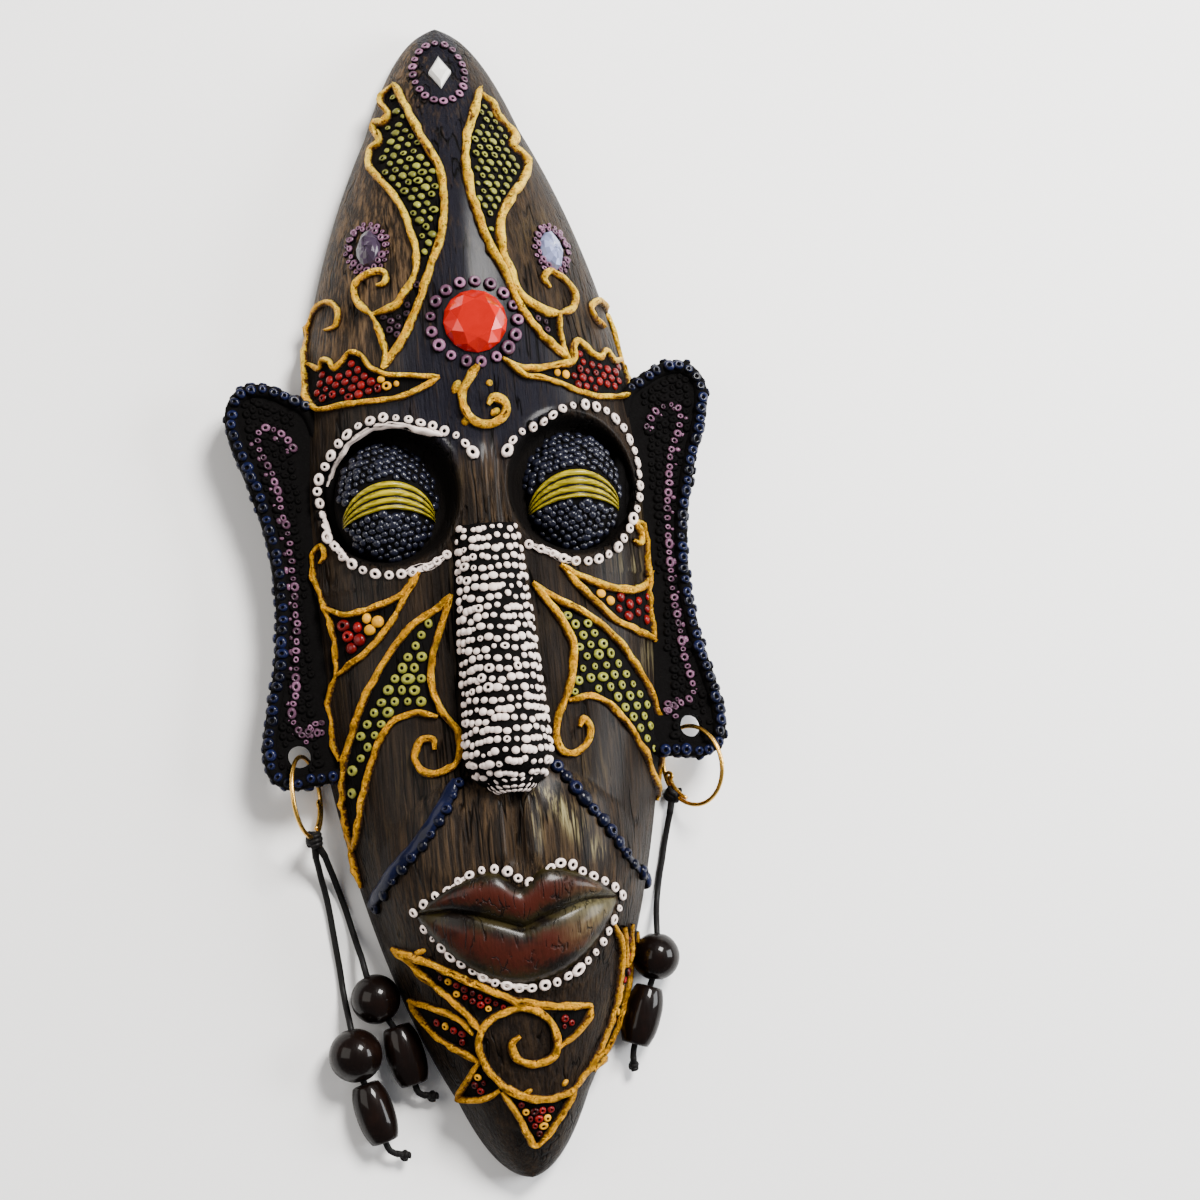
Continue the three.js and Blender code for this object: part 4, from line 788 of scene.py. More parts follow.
def set_beads(parts, profile, places, normals, alongs, radii, rises, stretches, tones):
    """Adds one bead at each place, stretched along the row it stands in."""
    turn = full_turn(BEAD_SIDES)
    share, height, paint = (np.array(column, float) for column in zip(*profile))
    u = (share[:, None] * np.cos(turn)).reshape(-1)
    v = (share[:, None] * np.sin(turn)).reshape(-1)
    w = np.repeat(height, BEAD_SIDES)
    lift = np.repeat(paint, BEAD_SIDES)
    faces = grid_faces(len(profile), BEAD_SIDES, looped=True).tolist()
    faces.append(last_ring(len(profile), BEAD_SIDES))
    alongs = unit(alongs - normals * (alongs * normals).sum(-1, keepdims=True))
    acrosses = np.cross(normals, alongs)
    for place, normal, along, across, radius, rise, stretch, tone in zip(
        places, normals, alongs, acrosses, radii, rises, stretches, tones
    ):
        outward = u[:, None] * stretch * along + v[:, None] * across
        points = place + radius * (outward + w[:, None] * rise * normal)
        # Painted light: the side of each bead that faces the light gets a higher lit value.
        toward = (u[:, None] * along[:2] + v[:, None] * across[:2]) @ PAINTED_LIGHT_SIDE
        parts.add(points, faces, lift=lift, tone=tone, lit=0.5 + 0.5 * toward.clip(-1, 1))


def beads_on(parts, profile, xy, surface, radius, rise, alongs=None, uneven=0.1, stretch=1.0, seed=0):
    """Adds beads on a height surface at [x, y] places, a little uneven in size and place."""
    xy = np.asarray(xy, float)
    if not len(xy):
        return
    dice = np.random.default_rng(seed)
    count = len(xy)
    xy = xy + dice.normal(0, uneven * radius * 0.5, xy.shape)
    if alongs is None:
        alongs = np.tile([1.0, 0.0], (count, 1))
    x, y = xy.T
    radii = radius * dice.normal(1, uneven, count).clip(*BEAD_LIMITS)
    stretches = stretch * dice.normal(1, uneven, count).clip(*STRETCH_LIMITS)
    set_beads(
        parts, profile, at_height(xy, surface(x, y)), normals_on(surface, x, y), at_height(alongs, 0.0),
        radii, np.full(count, rise), stretches, dice.random(count),
    )


RIDGE_SECTION = (-1.16, -1.0, -0.9, -0.72, -0.4, 0.0, 0.4, 0.72, 0.9, 1.0, 1.16)
RIDGE_FULLNESS = 0.3
RIDGE_SINK = 0.5
RIDGE_TAPER = 1.6
RIDGE_TIP_SHARE = 0.55


def add_ridge(parts, path, width, proud, waver, seed):
    """Adds a rounded ridge along a path on the face, uneven like a piped line and narrow at its tips."""
    centre = through(path, RIDGE_STEP)
    dice = np.random.default_rng(seed)
    knots = max(4, len(centre) // 3)
    places, knot_places = np.linspace(0, 1, len(centre)), np.linspace(0, 1, knots)
    wobble, sway, swell = (np.interp(places, knot_places, dice.normal(0, 1, knots)) for _ in range(3))
    run = run_lengths(centre)
    from_tip = np.minimum(run, run[-1] - run) / RIDGE_TAPER
    taper = np.clip(RIDGE_TIP_SHARE + (1 - RIDGE_TIP_SHARE) * from_tip, 0.0, 1.0)
    half = width / 2 * (1 + waver * 0.5 * wobble) * taper
    rise = np.gradient(carved_at(centre[:, 0], centre[:, 1]))
    normal = normals_on(carved_at, centre[:, 0], centre[:, 1])
    across = np.cross(unit(np.column_stack([np.gradient(centre, axis=0), rise])), normal)
    section = np.array(RIDGE_SECTION)
    crest = proud * np.clip(1 - section**2, 0, 1) ** RIDGE_FULLNESS
    height = np.where(np.abs(section) > 1, -RIDGE_SINK, crest)
    chips = dice.normal(0, 1, (knots, len(section)))
    chips = np.stack([np.interp(places, knot_places, column) for column in chips.T], -1)
    centre = centre + across[:, :2] * (half * waver * 0.5 * sway)[:, None]
    xy = centre[:, None, :] + across[:, None, :2] * (section[None, :] * half[:, None])[..., None]
    foot = np.concatenate([xy, carved_at(xy[..., 0], xy[..., 1])[..., None]], -1)
    swell = (RIDGE_TIP_SHARE + (1 - RIDGE_TIP_SHARE) * taper) * np.clip(1 + waver * swell, 0.6, 1.3)
    lift = height[None, :] * swell[:, None] * np.clip(1 + waver * chips, 0.5, 1.3)
    points = foot + normal[:, None, :] * lift[..., None]
    shown = np.clip(height / proud, 0, 1) * np.clip(1 + 1.5 * waver * chips, 0, 1)
    tones = np.interp(places, knot_places, dice.random(knots))
    # Painted light: the side of the ridge that faces the light gets a higher lit value.
    lit = 0.5 + 0.5 * section[None, :].clip(-1, 1) * (across[:, :2] @ PAINTED_LIGHT_SIDE)[:, None]
    faces = grid_faces(len(centre), len(section)).tolist()
    tone = np.repeat(tones, len(section))
    parts.add(points, faces, lift=shown.reshape(-1), tone=tone, lit=lit.reshape(-1))


# Materials.


def math_node(operation, reflected=False):
    """A Python operator that adds one Math node."""

    def add_node(wire, *others):
        values = (*others, wire) if reflected else (wire, *others)
        return wire.paint.node("ShaderNodeMath", {"operation": operation}, dict(enumerate(values)))

    return add_node


class Wire:
    """A socket of a material, with Python's operators as its Math nodes."""

    __add__ = math_node("ADD")
    __radd__ = math_node("ADD", reflected=True)
    __sub__ = math_node("SUBTRACT")
    __rsub__ = math_node("SUBTRACT", reflected=True)
    __mul__ = math_node("MULTIPLY")
    __rmul__ = math_node("MULTIPLY", reflected=True)
    __abs__ = math_node("ABSOLUTE")

    def __init__(self, paint, socket):
        self.paint = paint
        self.socket = socket

    def clamped(self):
        """The value kept between 0 and 1."""
        return self.paint.node("ShaderNodeClamp", {}, {0: self})

    def between(self, start, end):
        """0 below start, 1 above end, and a smooth rise between."""
        settings = {"interpolation_type": "SMOOTHSTEP"}
        return self.paint.node("ShaderNodeMapRange", settings, {0: self, 1: start, 2: end})


class Paint:
    """A procedural material of one finish."""

    def __init__(self, name, roughness=0.5, metallic=0.0, coat=0.0, coat_roughness=0.2, specular=0.5):
        self.material = bpy.data.materials.new(name)
        self.material.use_nodes = True
        self.tree = self.material.node_tree
        self.shader = self.tree.nodes["Principled BSDF"]
        self.set("Roughness", roughness)
        self.set("Metallic", metallic)
        self.set("Coat Weight", coat)
        self.set("Coat Roughness", coat_roughness)
        self.set("Specular IOR Level", specular)

    def feed(self, socket, value):
        """Gives a socket a value or a link."""
        if isinstance(value, Wire):
            self.tree.links.new(value.socket, socket)
        else:
            socket.default_value = value

    def node(self, kind, settings, sockets, output=0):
        """Any node, from its type, its settings and the values or links of its sockets."""
        made = self.tree.nodes.new(kind)
        for name, value in settings.items():
            setattr(made, name, value)
        for key, value in sockets.items():
            self.feed(made.inputs[key], value)
        return Wire(self, made.outputs[output])

    def set(self, name, value):
        """A value or a link on the surface shader."""
        self.feed(self.shader.inputs[name], value)

    def mark(self, name):
        """A value stored on the mesh."""
        return self.node("ShaderNodeAttribute", {"attribute_name": name}, {}, output=2)

    def place(self):
        """The place on the object, in metres."""
        return self.node("ShaderNodeTexCoord", {}, {}, output=3)

    def axes(self):
        """The place's X, Y and Z."""
        made = self.tree.nodes.new("ShaderNodeSeparateXYZ")
        self.tree.links.new(self.place().socket, made.inputs[0])
        return [Wire(self, made.outputs[i]) for i in range(3)]

    def noise(self, size, stretch=(1.0, 1.0, 1.0), detail=3.0, rough=0.55):
        """Noise with features about a size in millimetres, drawn out along the axes."""
        scale = tuple(1 / (size * MM * share) for share in stretch)
        moved = self.node("ShaderNodeMapping", {}, {0: self.place(), 3: scale})
        sockets = {"Vector": moved, "Scale": 1.0, "Detail": detail, "Roughness": rough}
        return self.node("ShaderNodeTexNoise", {}, sockets)

    def mix(self, share, first, second):
        """A mix of two colours, each a colour or a link."""
        colours = [value if isinstance(value, Wire) else (*value, 1.0) for value in (first, second)]
        settings = {"data_type": "RGBA"}
        return self.node("ShaderNodeMix", settings, {0: share, 6: colours[0], 7: colours[1]}, output=2)

    def bump(self, height, distance, strength=1.0):
        """A bump of a distance in millimetres."""
        sockets = {"Height": height, "Distance": distance * MM, "Strength": strength}
        return self.node("ShaderNodeBump", {}, sockets)

    def finished(self, colour, roughness, height, distance):
        """The material, with its colour, its roughness and a bump of a distance in millimetres."""
        self.set("Base Color", colour)
        self.set("Roughness", roughness)
        self.set("Normal", self.bump(height, distance))
        return self.material


def shaded(colour, share):
    """A colour times a share, or times one share for each of its parts."""
    return tuple(np.multiply(colour, share).tolist())


def black_relief(colours):
    """The dark between relief beads."""
    return shaded(colours.ground, 0.55)


# How relief is painted: roughness, coat, how much each form's own tone shows, and how strongly it is
# brushed towards the lit side, which paints light on that side and shade on the side away from it.
FINISHES = {
    "eyeball_paint": (0.25, 0.6, 0.35, 0.4), "nose_bead_paint": (0.45, 0.2, 0.35, 0.3),
    "ear_bead_paint": (0.34, 0.35, 1.0, 0.55), "ear_chain_paint": (0.3, 0.4, 0.9, 0.5),
    "white_bead_paint": (0.4, 0.3, 0.5, 0.25), "cheek_ridge_paint": (0.34, 0.25, 0.9, 0.45),
    "lilac_bead_paint": (0.26, 0.5, 0.9, 0.5), "gilt_bead_paint": (0.42, 0.2, 0.35, 0.3),
    "leaf_bead_paint": (0.32, 0.4, 0.8, 0.75), "olive_bead_paint": (0.32, 0.4, 0.3, 0.3),
    "red_bead_paint": (0.32, 0.4, 0.8, 0.3), "black_bead_paint": (0.32, 0.4, 0.9, 0.5),
    "ember_bead_paint": (0.32, 0.4, 0.9, 0.3),
}


def painted_relief(colours, name, colour, deep):
    """Dry-brushed relief: paint on the high parts, more on the side that faces the light and less on the side
    away from it (painted light and shade), dark in the hollows.
    """
    roughness, coat, tone_share, brush = FINISHES[name]
    paint = Paint(name, coat_roughness=0.14, specular=0.04)
    lift = paint.mark("lift")
    tone = paint.mark("tone")
    lit = paint.mark("lit")
    grime_and_shade = paint.noise(0.55, detail=4.0)
    toned = paint.mix((tone * tone_share + grime_and_shade * 0.5 - 0.18).clamped(), colour, deep)
    # Painted light and shade: the paint shows more on the side that faces the light and less on the far side.
    shown = lift * ((lit - 0.5) * (2 * brush) + 1) + (grime_and_shade - 0.5) * 0.8 - brush * 0.35
    shown = shown.between(0.16, 0.62)
    paint.set("Base Color", paint.mix(shown, black_relief(colours), toned))
    paint.set("Roughness", (0.8 - roughness) * (1 - shown) + roughness + (grime_and_shade - 0.5) * 0.3)
    paint.set("Coat Weight", shown * coat)
    paint.set("Normal", paint.bump(paint.noise(0.3), 0.07))
    return paint.material


# The face and back.


def carved_surface(colours):
    """Brown and black paint over carved grain, with the marks that the face's mesh carries."""
    paint = Paint("carved_resin_paint", coat_roughness=0.22, specular=0.06)
    streaks = paint.noise(0.46, (1.0, 24.0, 1.0), detail=5.0, rough=0.62)
    grain = paint.noise(1.3, (1.0, 12.0, 1.0), detail=4.0)
    patches = paint.noise(8.0, (1.0, 2.2, 1.0), detail=3.0)
    fine = paint.noise(0.25, detail=4.0)
    lines = paint.noise(1.3, (1.0, 34.0, 1.0), detail=1.0, rough=0.3) - 0.5
    crack = (1 - abs(lines) * 20.0).clamped() * paint.noise(5.0, (1.0, 3.0, 1.0)).between(0.5, 0.58)
    ground = paint.mark("ground")
    worn = ((streaks - 0.5) * 3.6 + (grain - 0.5) * 2.6 + 0.26).clamped()
    brown = (paint.mark("brown") * (worn * 1.15 + 0.1) + worn * 0.06).clamped()
    wood = paint.mix(brown, colours.espresso, colours.umber)
    olive = shaded(colours.umber, (0.42, 0.5, 0.42))
    wood = paint.mix(patches.between(0.52, 0.8) * worn, wood, olive)
    # Painted highlight on the right slopes, broken up by the grain.
    wood = paint.mix((paint.mark("cream_highlight") * (worn * 2.0 - 0.3)).clamped(), wood, colours.cream_highlight)
    wood = paint.mix((paint.mark("keel") * (1.15 - worn * 0.6)).clamped(), wood, colours.keel)
    wood = paint.mix((ground * 0.98).clamped(), wood, black_relief(colours))
    # Cracks darkened, and painted shade in the sockets, the creases and at the outline.
    hollow = (crack * 0.95 + paint.mark("grime_and_shade") * 0.8).clamped()
    wood = paint.mix(hollow, wood, shaded(colours.espresso, 0.3))
    paint.set("Base Color", wood)
    paint.set("Roughness", 0.4 + streaks * 0.2 + ground * 0.3)
    coat = 0.03 + paint.mark("keel") * 0.05 + streaks * 0.08
    paint.set("Coat Weight", coat * (1 - ground) * (1 - paint.mark("grime_and_shade")))
    quiet = 1 - ground * 0.6
    height = (streaks * 0.55 + grain * 0.7 + fine * 0.1 - crack * 1.3) * quiet
    paint.set("Normal", paint.bump(height, 1.0))
    return paint.material


def panel_ground(x, y):
    """1 inside the beaded panels."""
    return np.any([inside(np.array(outline), x, y) for outline, *_ in PANELS], axis=0).astype(float)


# Painted strips of the face: x, half width, and the y where each starts, is full, fades and ends. The strip
# on the right ridge over the lip is a painted highlight; the strips beside the nose and down the lip groove
# are painted shade.
BROWN_BRIDGE = (0.3, 2.6, (7, 10, 20, 23))
HIGHLIGHT_RIDGE = (3.1, 0.8, (-44, -41, -35, -33))
NOSE_SIDES = (7.4, 1.3, (-33, -30, 6, 9))
LIP_GROOVE = (0.0, 0.9, (-46, -43, -34, -32))
# Patches of painted highlight on the right cheek: places, and their half width and half height.
HIGHLIGHT_PATCHES = ((22.8, 1.4), (25.6, -13.0))
HIGHLIGHT_PATCH_HALF = (1.8, 2.6)
MUZZLE_PAINT = {"y": -44, "half_width": 20, "half_height": 17}
# A streak of painted highlight right of the lip groove.
HIGHLIGHT_STREAK = {"x": 8.2, "lean": 0.75, "y": -38, "width": 1.7, "ends": (-46, -42, -34.5, -32)}
KEEL_HALF_WIDTHS = ((20, 27, 36, 43, 52, 62, 75, 88), (9, 15, 13, 9, 5.5, 3.4, 5.6, 3.5))


def strip(x, y, centre, width, ends):
    """1 along the middle of a painted strip."""
    return hump(x, centre, width) * span(y, *ends)


def paint_marks(x, y):
    """Where the face is browner, blue black, highlighted, black, and in painted shade, each from 0 to 1."""
    half = outline_half_at(y)
    crown = smooth_step(30, 40, y) * (0.12 + 0.62 * smooth_step(0.12, 0.5, -x / half))
    u, v = x / MUZZLE_PAINT["half_width"], (y - MUZZLE_PAINT["y"]) / MUZZLE_PAINT["half_height"]
    muzzle = np.clip(1.2 - (u * u + v * v), 0, 1)
    brown = np.clip(crown + 0.26 * muzzle + 0.07, 0, 1) + 0.35 * strip(x, y, *BROWN_BRIDGE)
    keel_half = np.interp(y, *KEEL_HALF_WIDTHS)
    keel = smooth_step(15, 23, y) * (1 - smooth_step(keel_half * 0.8, keel_half * 1.15, np.abs(x)))
    # Painted highlight: a streak right of the lip groove, the right ridge over the lip and two patches on the
    # right cheek.
    streak_x = HIGHLIGHT_STREAK["x"] - HIGHLIGHT_STREAK["lean"] * (y - HIGHLIGHT_STREAK["y"])
    cream_highlight = 0.9 * strip(x, y, streak_x, HIGHLIGHT_STREAK["width"], HIGHLIGHT_STREAK["ends"])
    cream_highlight = cream_highlight + 0.45 * strip(x, y, *HIGHLIGHT_RIDGE)
    for at_x, at_y in HIGHLIGHT_PATCHES:
        cream_highlight = cream_highlight + 0.4 * hump(x, at_x, HIGHLIGHT_PATCH_HALF[0]) * hump(y, at_y, HIGHLIGHT_PATCH_HALF[1])
    # Painted shade: the eye sockets are darker and laid as black ground, the creases beside the nose and down
    # the lip groove are darker, and so is the outline where the face turns down.
    socket = 0.9 * (1 - smooth_step(0.93, 1.06, eye_share(x, y)))
    creases = 0.8 * strip(np.abs(x), y, *NOSE_SIDES) + 0.6 * strip(x, y, *LIP_GROOVE)
    grime_and_shade = socket + creases + 0.5 * smooth_step(0.97, 1.0, np.abs(x) / half)
    return {
        "brown": brown.clip(0, 1), "keel": keel, "cream_highlight": cream_highlight.clip(0, 1),
        "ground": np.maximum(panel_ground(x, y), socket), "grime_and_shade": grime_and_shade.clip(0, 1),
    }


class MASK_OT_face(bpy.types.Operator):
    """Build the carved face as one fine surface with its painted areas marked"""

    bl_idname = "mask.face"
    bl_label = "Face"

    def execute(self, context):
        shape = context.scene.mask_shape
        y = HALF_LENGTH * shares_across(shape.face_rows, ROW_BUNCHING)
        across = shares_across(shape.face_columns, COLUMN_BUNCHING)
        x = outline_half_at(y)[:, None] * across[None, :]
        y = np.repeat(y[:, None], shape.face_columns, axis=1)
        top = np.stack([x, y, carved_at(x, y)], -1)
        low = top * [1, 1, 0]
        points = np.concatenate([low[:, :1], top, low[:, -1:]], axis=1)
        marks = {
            mark: np.pad(values, ((0, 0), (1, 1)), mode="edge").reshape(-1)
            for mark, values in paint_marks(x, y).items()
        }
        rows, columns = points.shape[:2]
        faces = grid_faces(rows, columns).tolist()
        faces.append(list(range(columns))[::-1])
        faces.append(last_ring(rows, columns))
        look = carved_surface(context.scene.mask_colours)
        piece("face", points.reshape(-1, 3), faces, look, marks, replaces=("mask_body",))
        return {"FINISHED"}


def hollow_half_at(y):
    """Half the width of the hollow behind the face at y."""
    return half_width_at(y, HALF_FACE - WALL, HALF_LENGTH - TIP_WALL)


class MASK_OT_back(bpy.types.Operator):
    """Build the flat rim and the hollow behind the face"""

    bl_idname = "mask.back"
    bl_label = "Back"

    def execute(self, context):
        colours = context.scene.mask_colours
        rows, columns = BACK_GRID
        y = HALF_LENGTH * shares_across(rows)
        outer = outline_half_at(y)[:, None]
        reach = np.sqrt(np.clip(1 - (y / (HALF_LENGTH - TIP_WALL)) ** 2, 0, 1))[:, None]
        hollow = np.where(reach > 0, hollow_half_at(y)[:, None], 0.0)
        share = shares_across(columns)
        full = HOLLOW_DEPTH * reach * (1 - np.abs(share) ** HOLLOW_FULLNESS) ** HOLLOW_ROUNDING
        z = np.where(hollow > 0, HOLLOW_EDGE_DEPTH + full, 0.0)
        flat = np.zeros((rows, 1))
        x = np.hstack([-outer, -hollow, hollow * share, hollow, outer])
        z = np.hstack([flat, flat, z, flat, flat])
        points = np.stack([x, np.repeat(y[:, None], x.shape[1], axis=1), z], -1)
        faces = grid_faces(*points.shape[:2])[:, ::-1].tolist()
        paint = Paint("bare_back_resin")
        speck = paint.noise(0.8, detail=5.0)
        wash = paint.noise(14.0, (1.0, 2.0, 1.0))
        worn = (wash * 0.8 + speck * 0.5 - 0.2).clamped()
        brown = paint.mix(worn, shaded(colours.espresso, 1.5), shaded(colours.umber, 0.5))
        look = paint.finished(brown, 0.62 + speck * 0.2, speck + paint.noise(3.0), 0.25)
        piece("back", points.reshape(-1, 3), faces, look)
        return {"FINISHED"}


# Eyes, nose and lips.


def lid_edge(share):
    """The lid's lower edge and its height at a share of its half width."""
    flat = 1 - (1 - LID["end_share"]) * share**2
    height = LID["height"] * flat * np.sqrt(np.clip(1 - share**8, 0, 1))
    return LID["low_y"] + LID["arch"] * (1 - share**2), height


class MASK_OT_eyes(bpy.types.Operator):
    """Build the beaded eyeballs and their arched lids"""

    bl_idname = "mask.eyes"
    bl_label = "Eyes"

    def execute(self, context):
        shape = context.scene.mask_shape
        colours = context.scene.mask_colours
        eyeball = colours.eyeball
        ball_look = painted_relief(colours, "eyeball_paint", eyeball, shaded(eyeball, 0.45))
        lid_look = self.lid_paint(colours)
        for side, name in SIDES:
            self.eyeball(side, name, ball_look, shape.seed + side)
            self.lid(side, name, lid_look)
        return {"FINISHED"}

    def eyeball(self, side, name, look, seed):
        """One eyeball, beaded where its lid leaves it free."""
        ball = Parts(*RELIEF_MARKS)
        rings, turns = EYEBALL_GRID
        share = np.sin(np.linspace(0.03, math.pi / 2, rings))[:, None]
        turn = full_turn(turns)[None, :]
        x = side * EYEBALL["x"] + share * EYEBALL["half_width"] * np.cos(turn)
        y = EYEBALL["y"] + share * EYEBALL["half_height"] * np.sin(turn)
        faces = grid_faces(rings, turns, looped=True)[:, ::-1].tolist()
        faces.append(list(range(turns)))
        ball.add(np.stack([x, y, eyeball_at(x, y, side)], -1), faces, lift=0.0, tone=0.5)
        outline = np.stack([x[-1], y[-1]], -1)
        spots = filled(outline, EYE_BEADS["pitch"], EYE_BEADS["turn"], EYE_BEADS["margin"])
        share = (spots[:, 0] - side * EYEBALL["x"]) / LID["half_width"]
        low, tall = lid_edge(share)
        under, over = spots[:, 1] < low - LID_GAP[0], spots[:, 1] > low + tall + LID_GAP[1]
        beads_on(
            ball, ROUND_BEAD, spots[(np.abs(share) > 1) | under | over], partial(eyeball_at, side=side),
            EYE_BEADS["radius"], EYE_BEADS["rise"], uneven=EYE_BEADS["uneven"], seed=seed,
        )
        ball.made(f"eyeball_{name}", look, "carved_resin")

    def lid(self, side, name, look):
        """One lid, a fan of raised lines across the eyeball."""
        rows, columns = LID_GRID
        share = np.linspace(-1, 1, columns)[None, :]
        up = np.linspace(0, 1, rows)[:, None]
        x = side * EYEBALL["x"] + share * LID["half_width"] + 0 * up
        low, tall = lid_edge(share)
        y = low + tall * up
        ripple = np.abs(np.sin(math.pi * LID["lines"] * up**0.85)) ** 0.8
        edge = span(up, 0, 0.06, 0.94, 1) * (1 - smooth_step(0.93, 1, np.abs(share)))
        rise = LID["proud"] * (0.2 + 0.8 * ripple) * edge - 0.25 * (1 - edge)
        points = np.stack([x, y, eyeball_at(x, y, side) + rise], -1).reshape(-1, 3)
        tone = 0.5 + 0.5 * np.sin(up * 9 + share * 2)
        marks = {"lift": (ripple * edge).reshape(-1), "tone": tone.reshape(-1)}
        piece(f"eyelid_{name}", points, grid_faces(rows, columns).tolist(), look, marks)

    def lid_paint(self, colours):
        """Yellow green brushed over the lid's lines, thin at the edges."""
        paint = Paint("eyelid_paint", coat=0.4, coat_roughness=0.15, specular=0.1)
        lift = paint.mark("lift")
        brush = paint.noise(0.4, (7.0, 1.0, 1.0), detail=4.0)
        dull = shaded(colours.lid, 0.32)
        shown = (lift * 1.25 + brush * 0.8 - 0.5).between(0.3, 0.85)
        toned = paint.mix(brush.between(0.35, 0.7), dull, colours.lid)
        return paint.finished(paint.mix(shown, colours.ground, toned), 0.36 + brush * 0.2, brush, 0.12)


def nose_section(share):
    """The nose's place, half width, foot and top at a share of its length from the brow."""
    turned = smooth_step(NOSE_TIP_ROUNDING["from"], NOSE_TIP_ROUNDING["to"], share)
    rounding = np.sqrt(np.maximum(1 - turned**2, NOSE_TIP_ROUNDING["least"]))
    y = NOSE_TOP_Y + (NOSE_TIP_Y - NOSE_TOP_Y) * share
    half = NOSE_HALF_WIDTHS[0] + (NOSE_HALF_WIDTHS[1] - NOSE_HALF_WIDTHS[0]) * share**0.8
    top = NOSE_HEIGHTS[0] + (NOSE_HEIGHTS[1] - NOSE_HEIGHTS[0]) * share**0.9
    foot = face_at(half, y) - NOSE_SINK
    return y, half * np.sqrt(rounding), foot, (top - foot) * rounding


def nose_at(share, angle):
    """Points on the nose from its share of length and its angle round, in degrees from the right side."""
    y, half, foot, rise = nose_section(share)
    turn = np.radians(angle)
    return np.stack([half * np.cos(turn), y + 0 * turn, foot + rise * np.sin(turn) ** 0.8], -1)


class MASK_OT_nose(bpy.types.Operator):
    """Build the nose with its rows of white beads and dashes"""

    bl_idname = "mask.nose"
    bl_label = "Nose"

    def execute(self, context):
        shape = context.scene.mask_shape
        colours = context.scene.mask_colours
        nose = Parts(*RELIEF_MARKS)
        rows, columns = NOSE_GRID
        shell = nose_at(np.linspace(0, 1, rows)[:, None], np.linspace(0, 180, columns)[None, :])
        end = shell[-1]
        middle = end.mean(axis=0) * [0, 1, 1]
        cap = np.array([
            middle + (end - middle) * math.cos(turn) - [0, NOSE_CAP_REACH * math.sin(turn), 0]
            for turn in np.linspace(0.25, math.pi / 2, 7)
        ])
        brow = shell[:1] + [0, 0.3, 0]
        brow[..., 2] = np.minimum(brow[..., 2], carved_at(brow[..., 0], brow[..., 1]) - 0.1)
        points = np.concatenate([brow, shell, cap])
        nose.add(points, grid_faces(len(points), columns)[:, ::-1], lift=0.0, tone=0.5)
        dice = np.random.default_rng(shape.seed)
        for row in range(NOSE_BEAD_ROWS):
            self.bead_row(nose, (row + 0.45) / (NOSE_BEAD_ROWS - 0.4), dice)
        self.tip_beads(nose, cap[2], dice)
        look = painted_relief(colours, "nose_bead_paint", colours.white, shaded(colours.white, 0.72))
        nose.made("nose", look, "carved_resin")
        return {"FINISHED"}

    def bead_row(self, nose, share, dice):
        """One wavering row of dots over the nose, some of them run together."""
        angles = np.linspace(8, 172, 160)
        length = run_lengths(nose_at(np.array(share), angles))
        phases = dice.uniform(0, 2 * math.pi, 2)
        place = dice.uniform(0.3, 0.9)
        run = 0
        while place < length[-1] - 0.3:
            angle = np.interp(place, length, angles)
            wave = math.sin(angle / 11 + phases[0]) + 0.6 * math.sin(angle / 5 + phases[1])
            bend = share + 0.0045 * wave + dice.normal(0, 0.003)
            at = nose_at(np.array(bend), np.array([angle - 2, angle, angle + 2]))
            down = nose_at(np.array(bend + 0.01), np.array([angle]))[0] - at[1]
            along = at[2] - at[0]
            normal = unit(np.cross(down, along))
            normal = normal if normal[2] >= 0 else -normal
            pierced = run == 0 and dice.random() < NOSE_BEADS["pierced"]
            radius = dice.normal(NOSE_BEADS["radius"], NOSE_BEADS["spread"]) * (1.15 if pierced else 1.0)
            set_beads(
                nose, PIERCED_BEAD if pierced else ROUND_BEAD, at[1][None], normal[None], along[None],
                [radius], [NOSE_BEADS["rise"]], [dice.uniform(0.95, 1.3)], [dice.random()],
            )
            starts = not run and dice.random() < NOSE_BEADS["joined"]
            run = run - 1 if run else (dice.integers(1, 4) if starts else 0)
            place += dice.uniform(*NOSE_BEAD_GAPS["joined" if run else "free"])

    def tip_beads(self, nose, edge, dice):
        """Three rows of beads round the rounded tip."""
        whole = spaced(edge[3:-3], TIP_BEADS["gap"])
        centre = whole.mean(axis=0)
        count = len(whole)
        for row, drop in enumerate(TIP_BEADS["drops"]):
            line = centre + (whole - centre) * (1 - 0.2 * row) + [0, drop, 0]
            normals = unit(line - centre - [0, 3.0, 0])
            radii = dice.normal(TIP_BEADS["radius"], TIP_BEADS["spread"], count)
            set_beads(
                nose, ROUND_BEAD, line, normals, np.gradient(line, axis=0), radii,
                np.full(count, TIP_BEADS["rise"]), dice.uniform(0.9, 1.3, count), dice.random(count),
            )


def upper_lip_y(share):
    """The top edge of the mouth at a share of its half width."""
    bow = UPPER_LIP["bow_dip"] * np.exp(-((share * UPPER_LIP["bow_narrowness"]) ** 2))
    return MOUTH_Y + UPPER_LIP["height"] * (1 - share * share) ** UPPER_LIP["fullness"] - bow


def lower_lip_y(share):
    """The bottom edge of the mouth."""
    return MOUTH_Y - LOWER_LIP["height"] * (1 - share * share) ** LOWER_LIP["fullness"]


def mouth_line_y(share):
    """The line between the lips."""
    near = np.clip(1 - np.abs(share) / MOUTH_DIP["reach"], 0, 1)
    return MOUTH_Y - MOUTH_DIP["depth"] * near ** MOUTH_DIP["sharpness"]


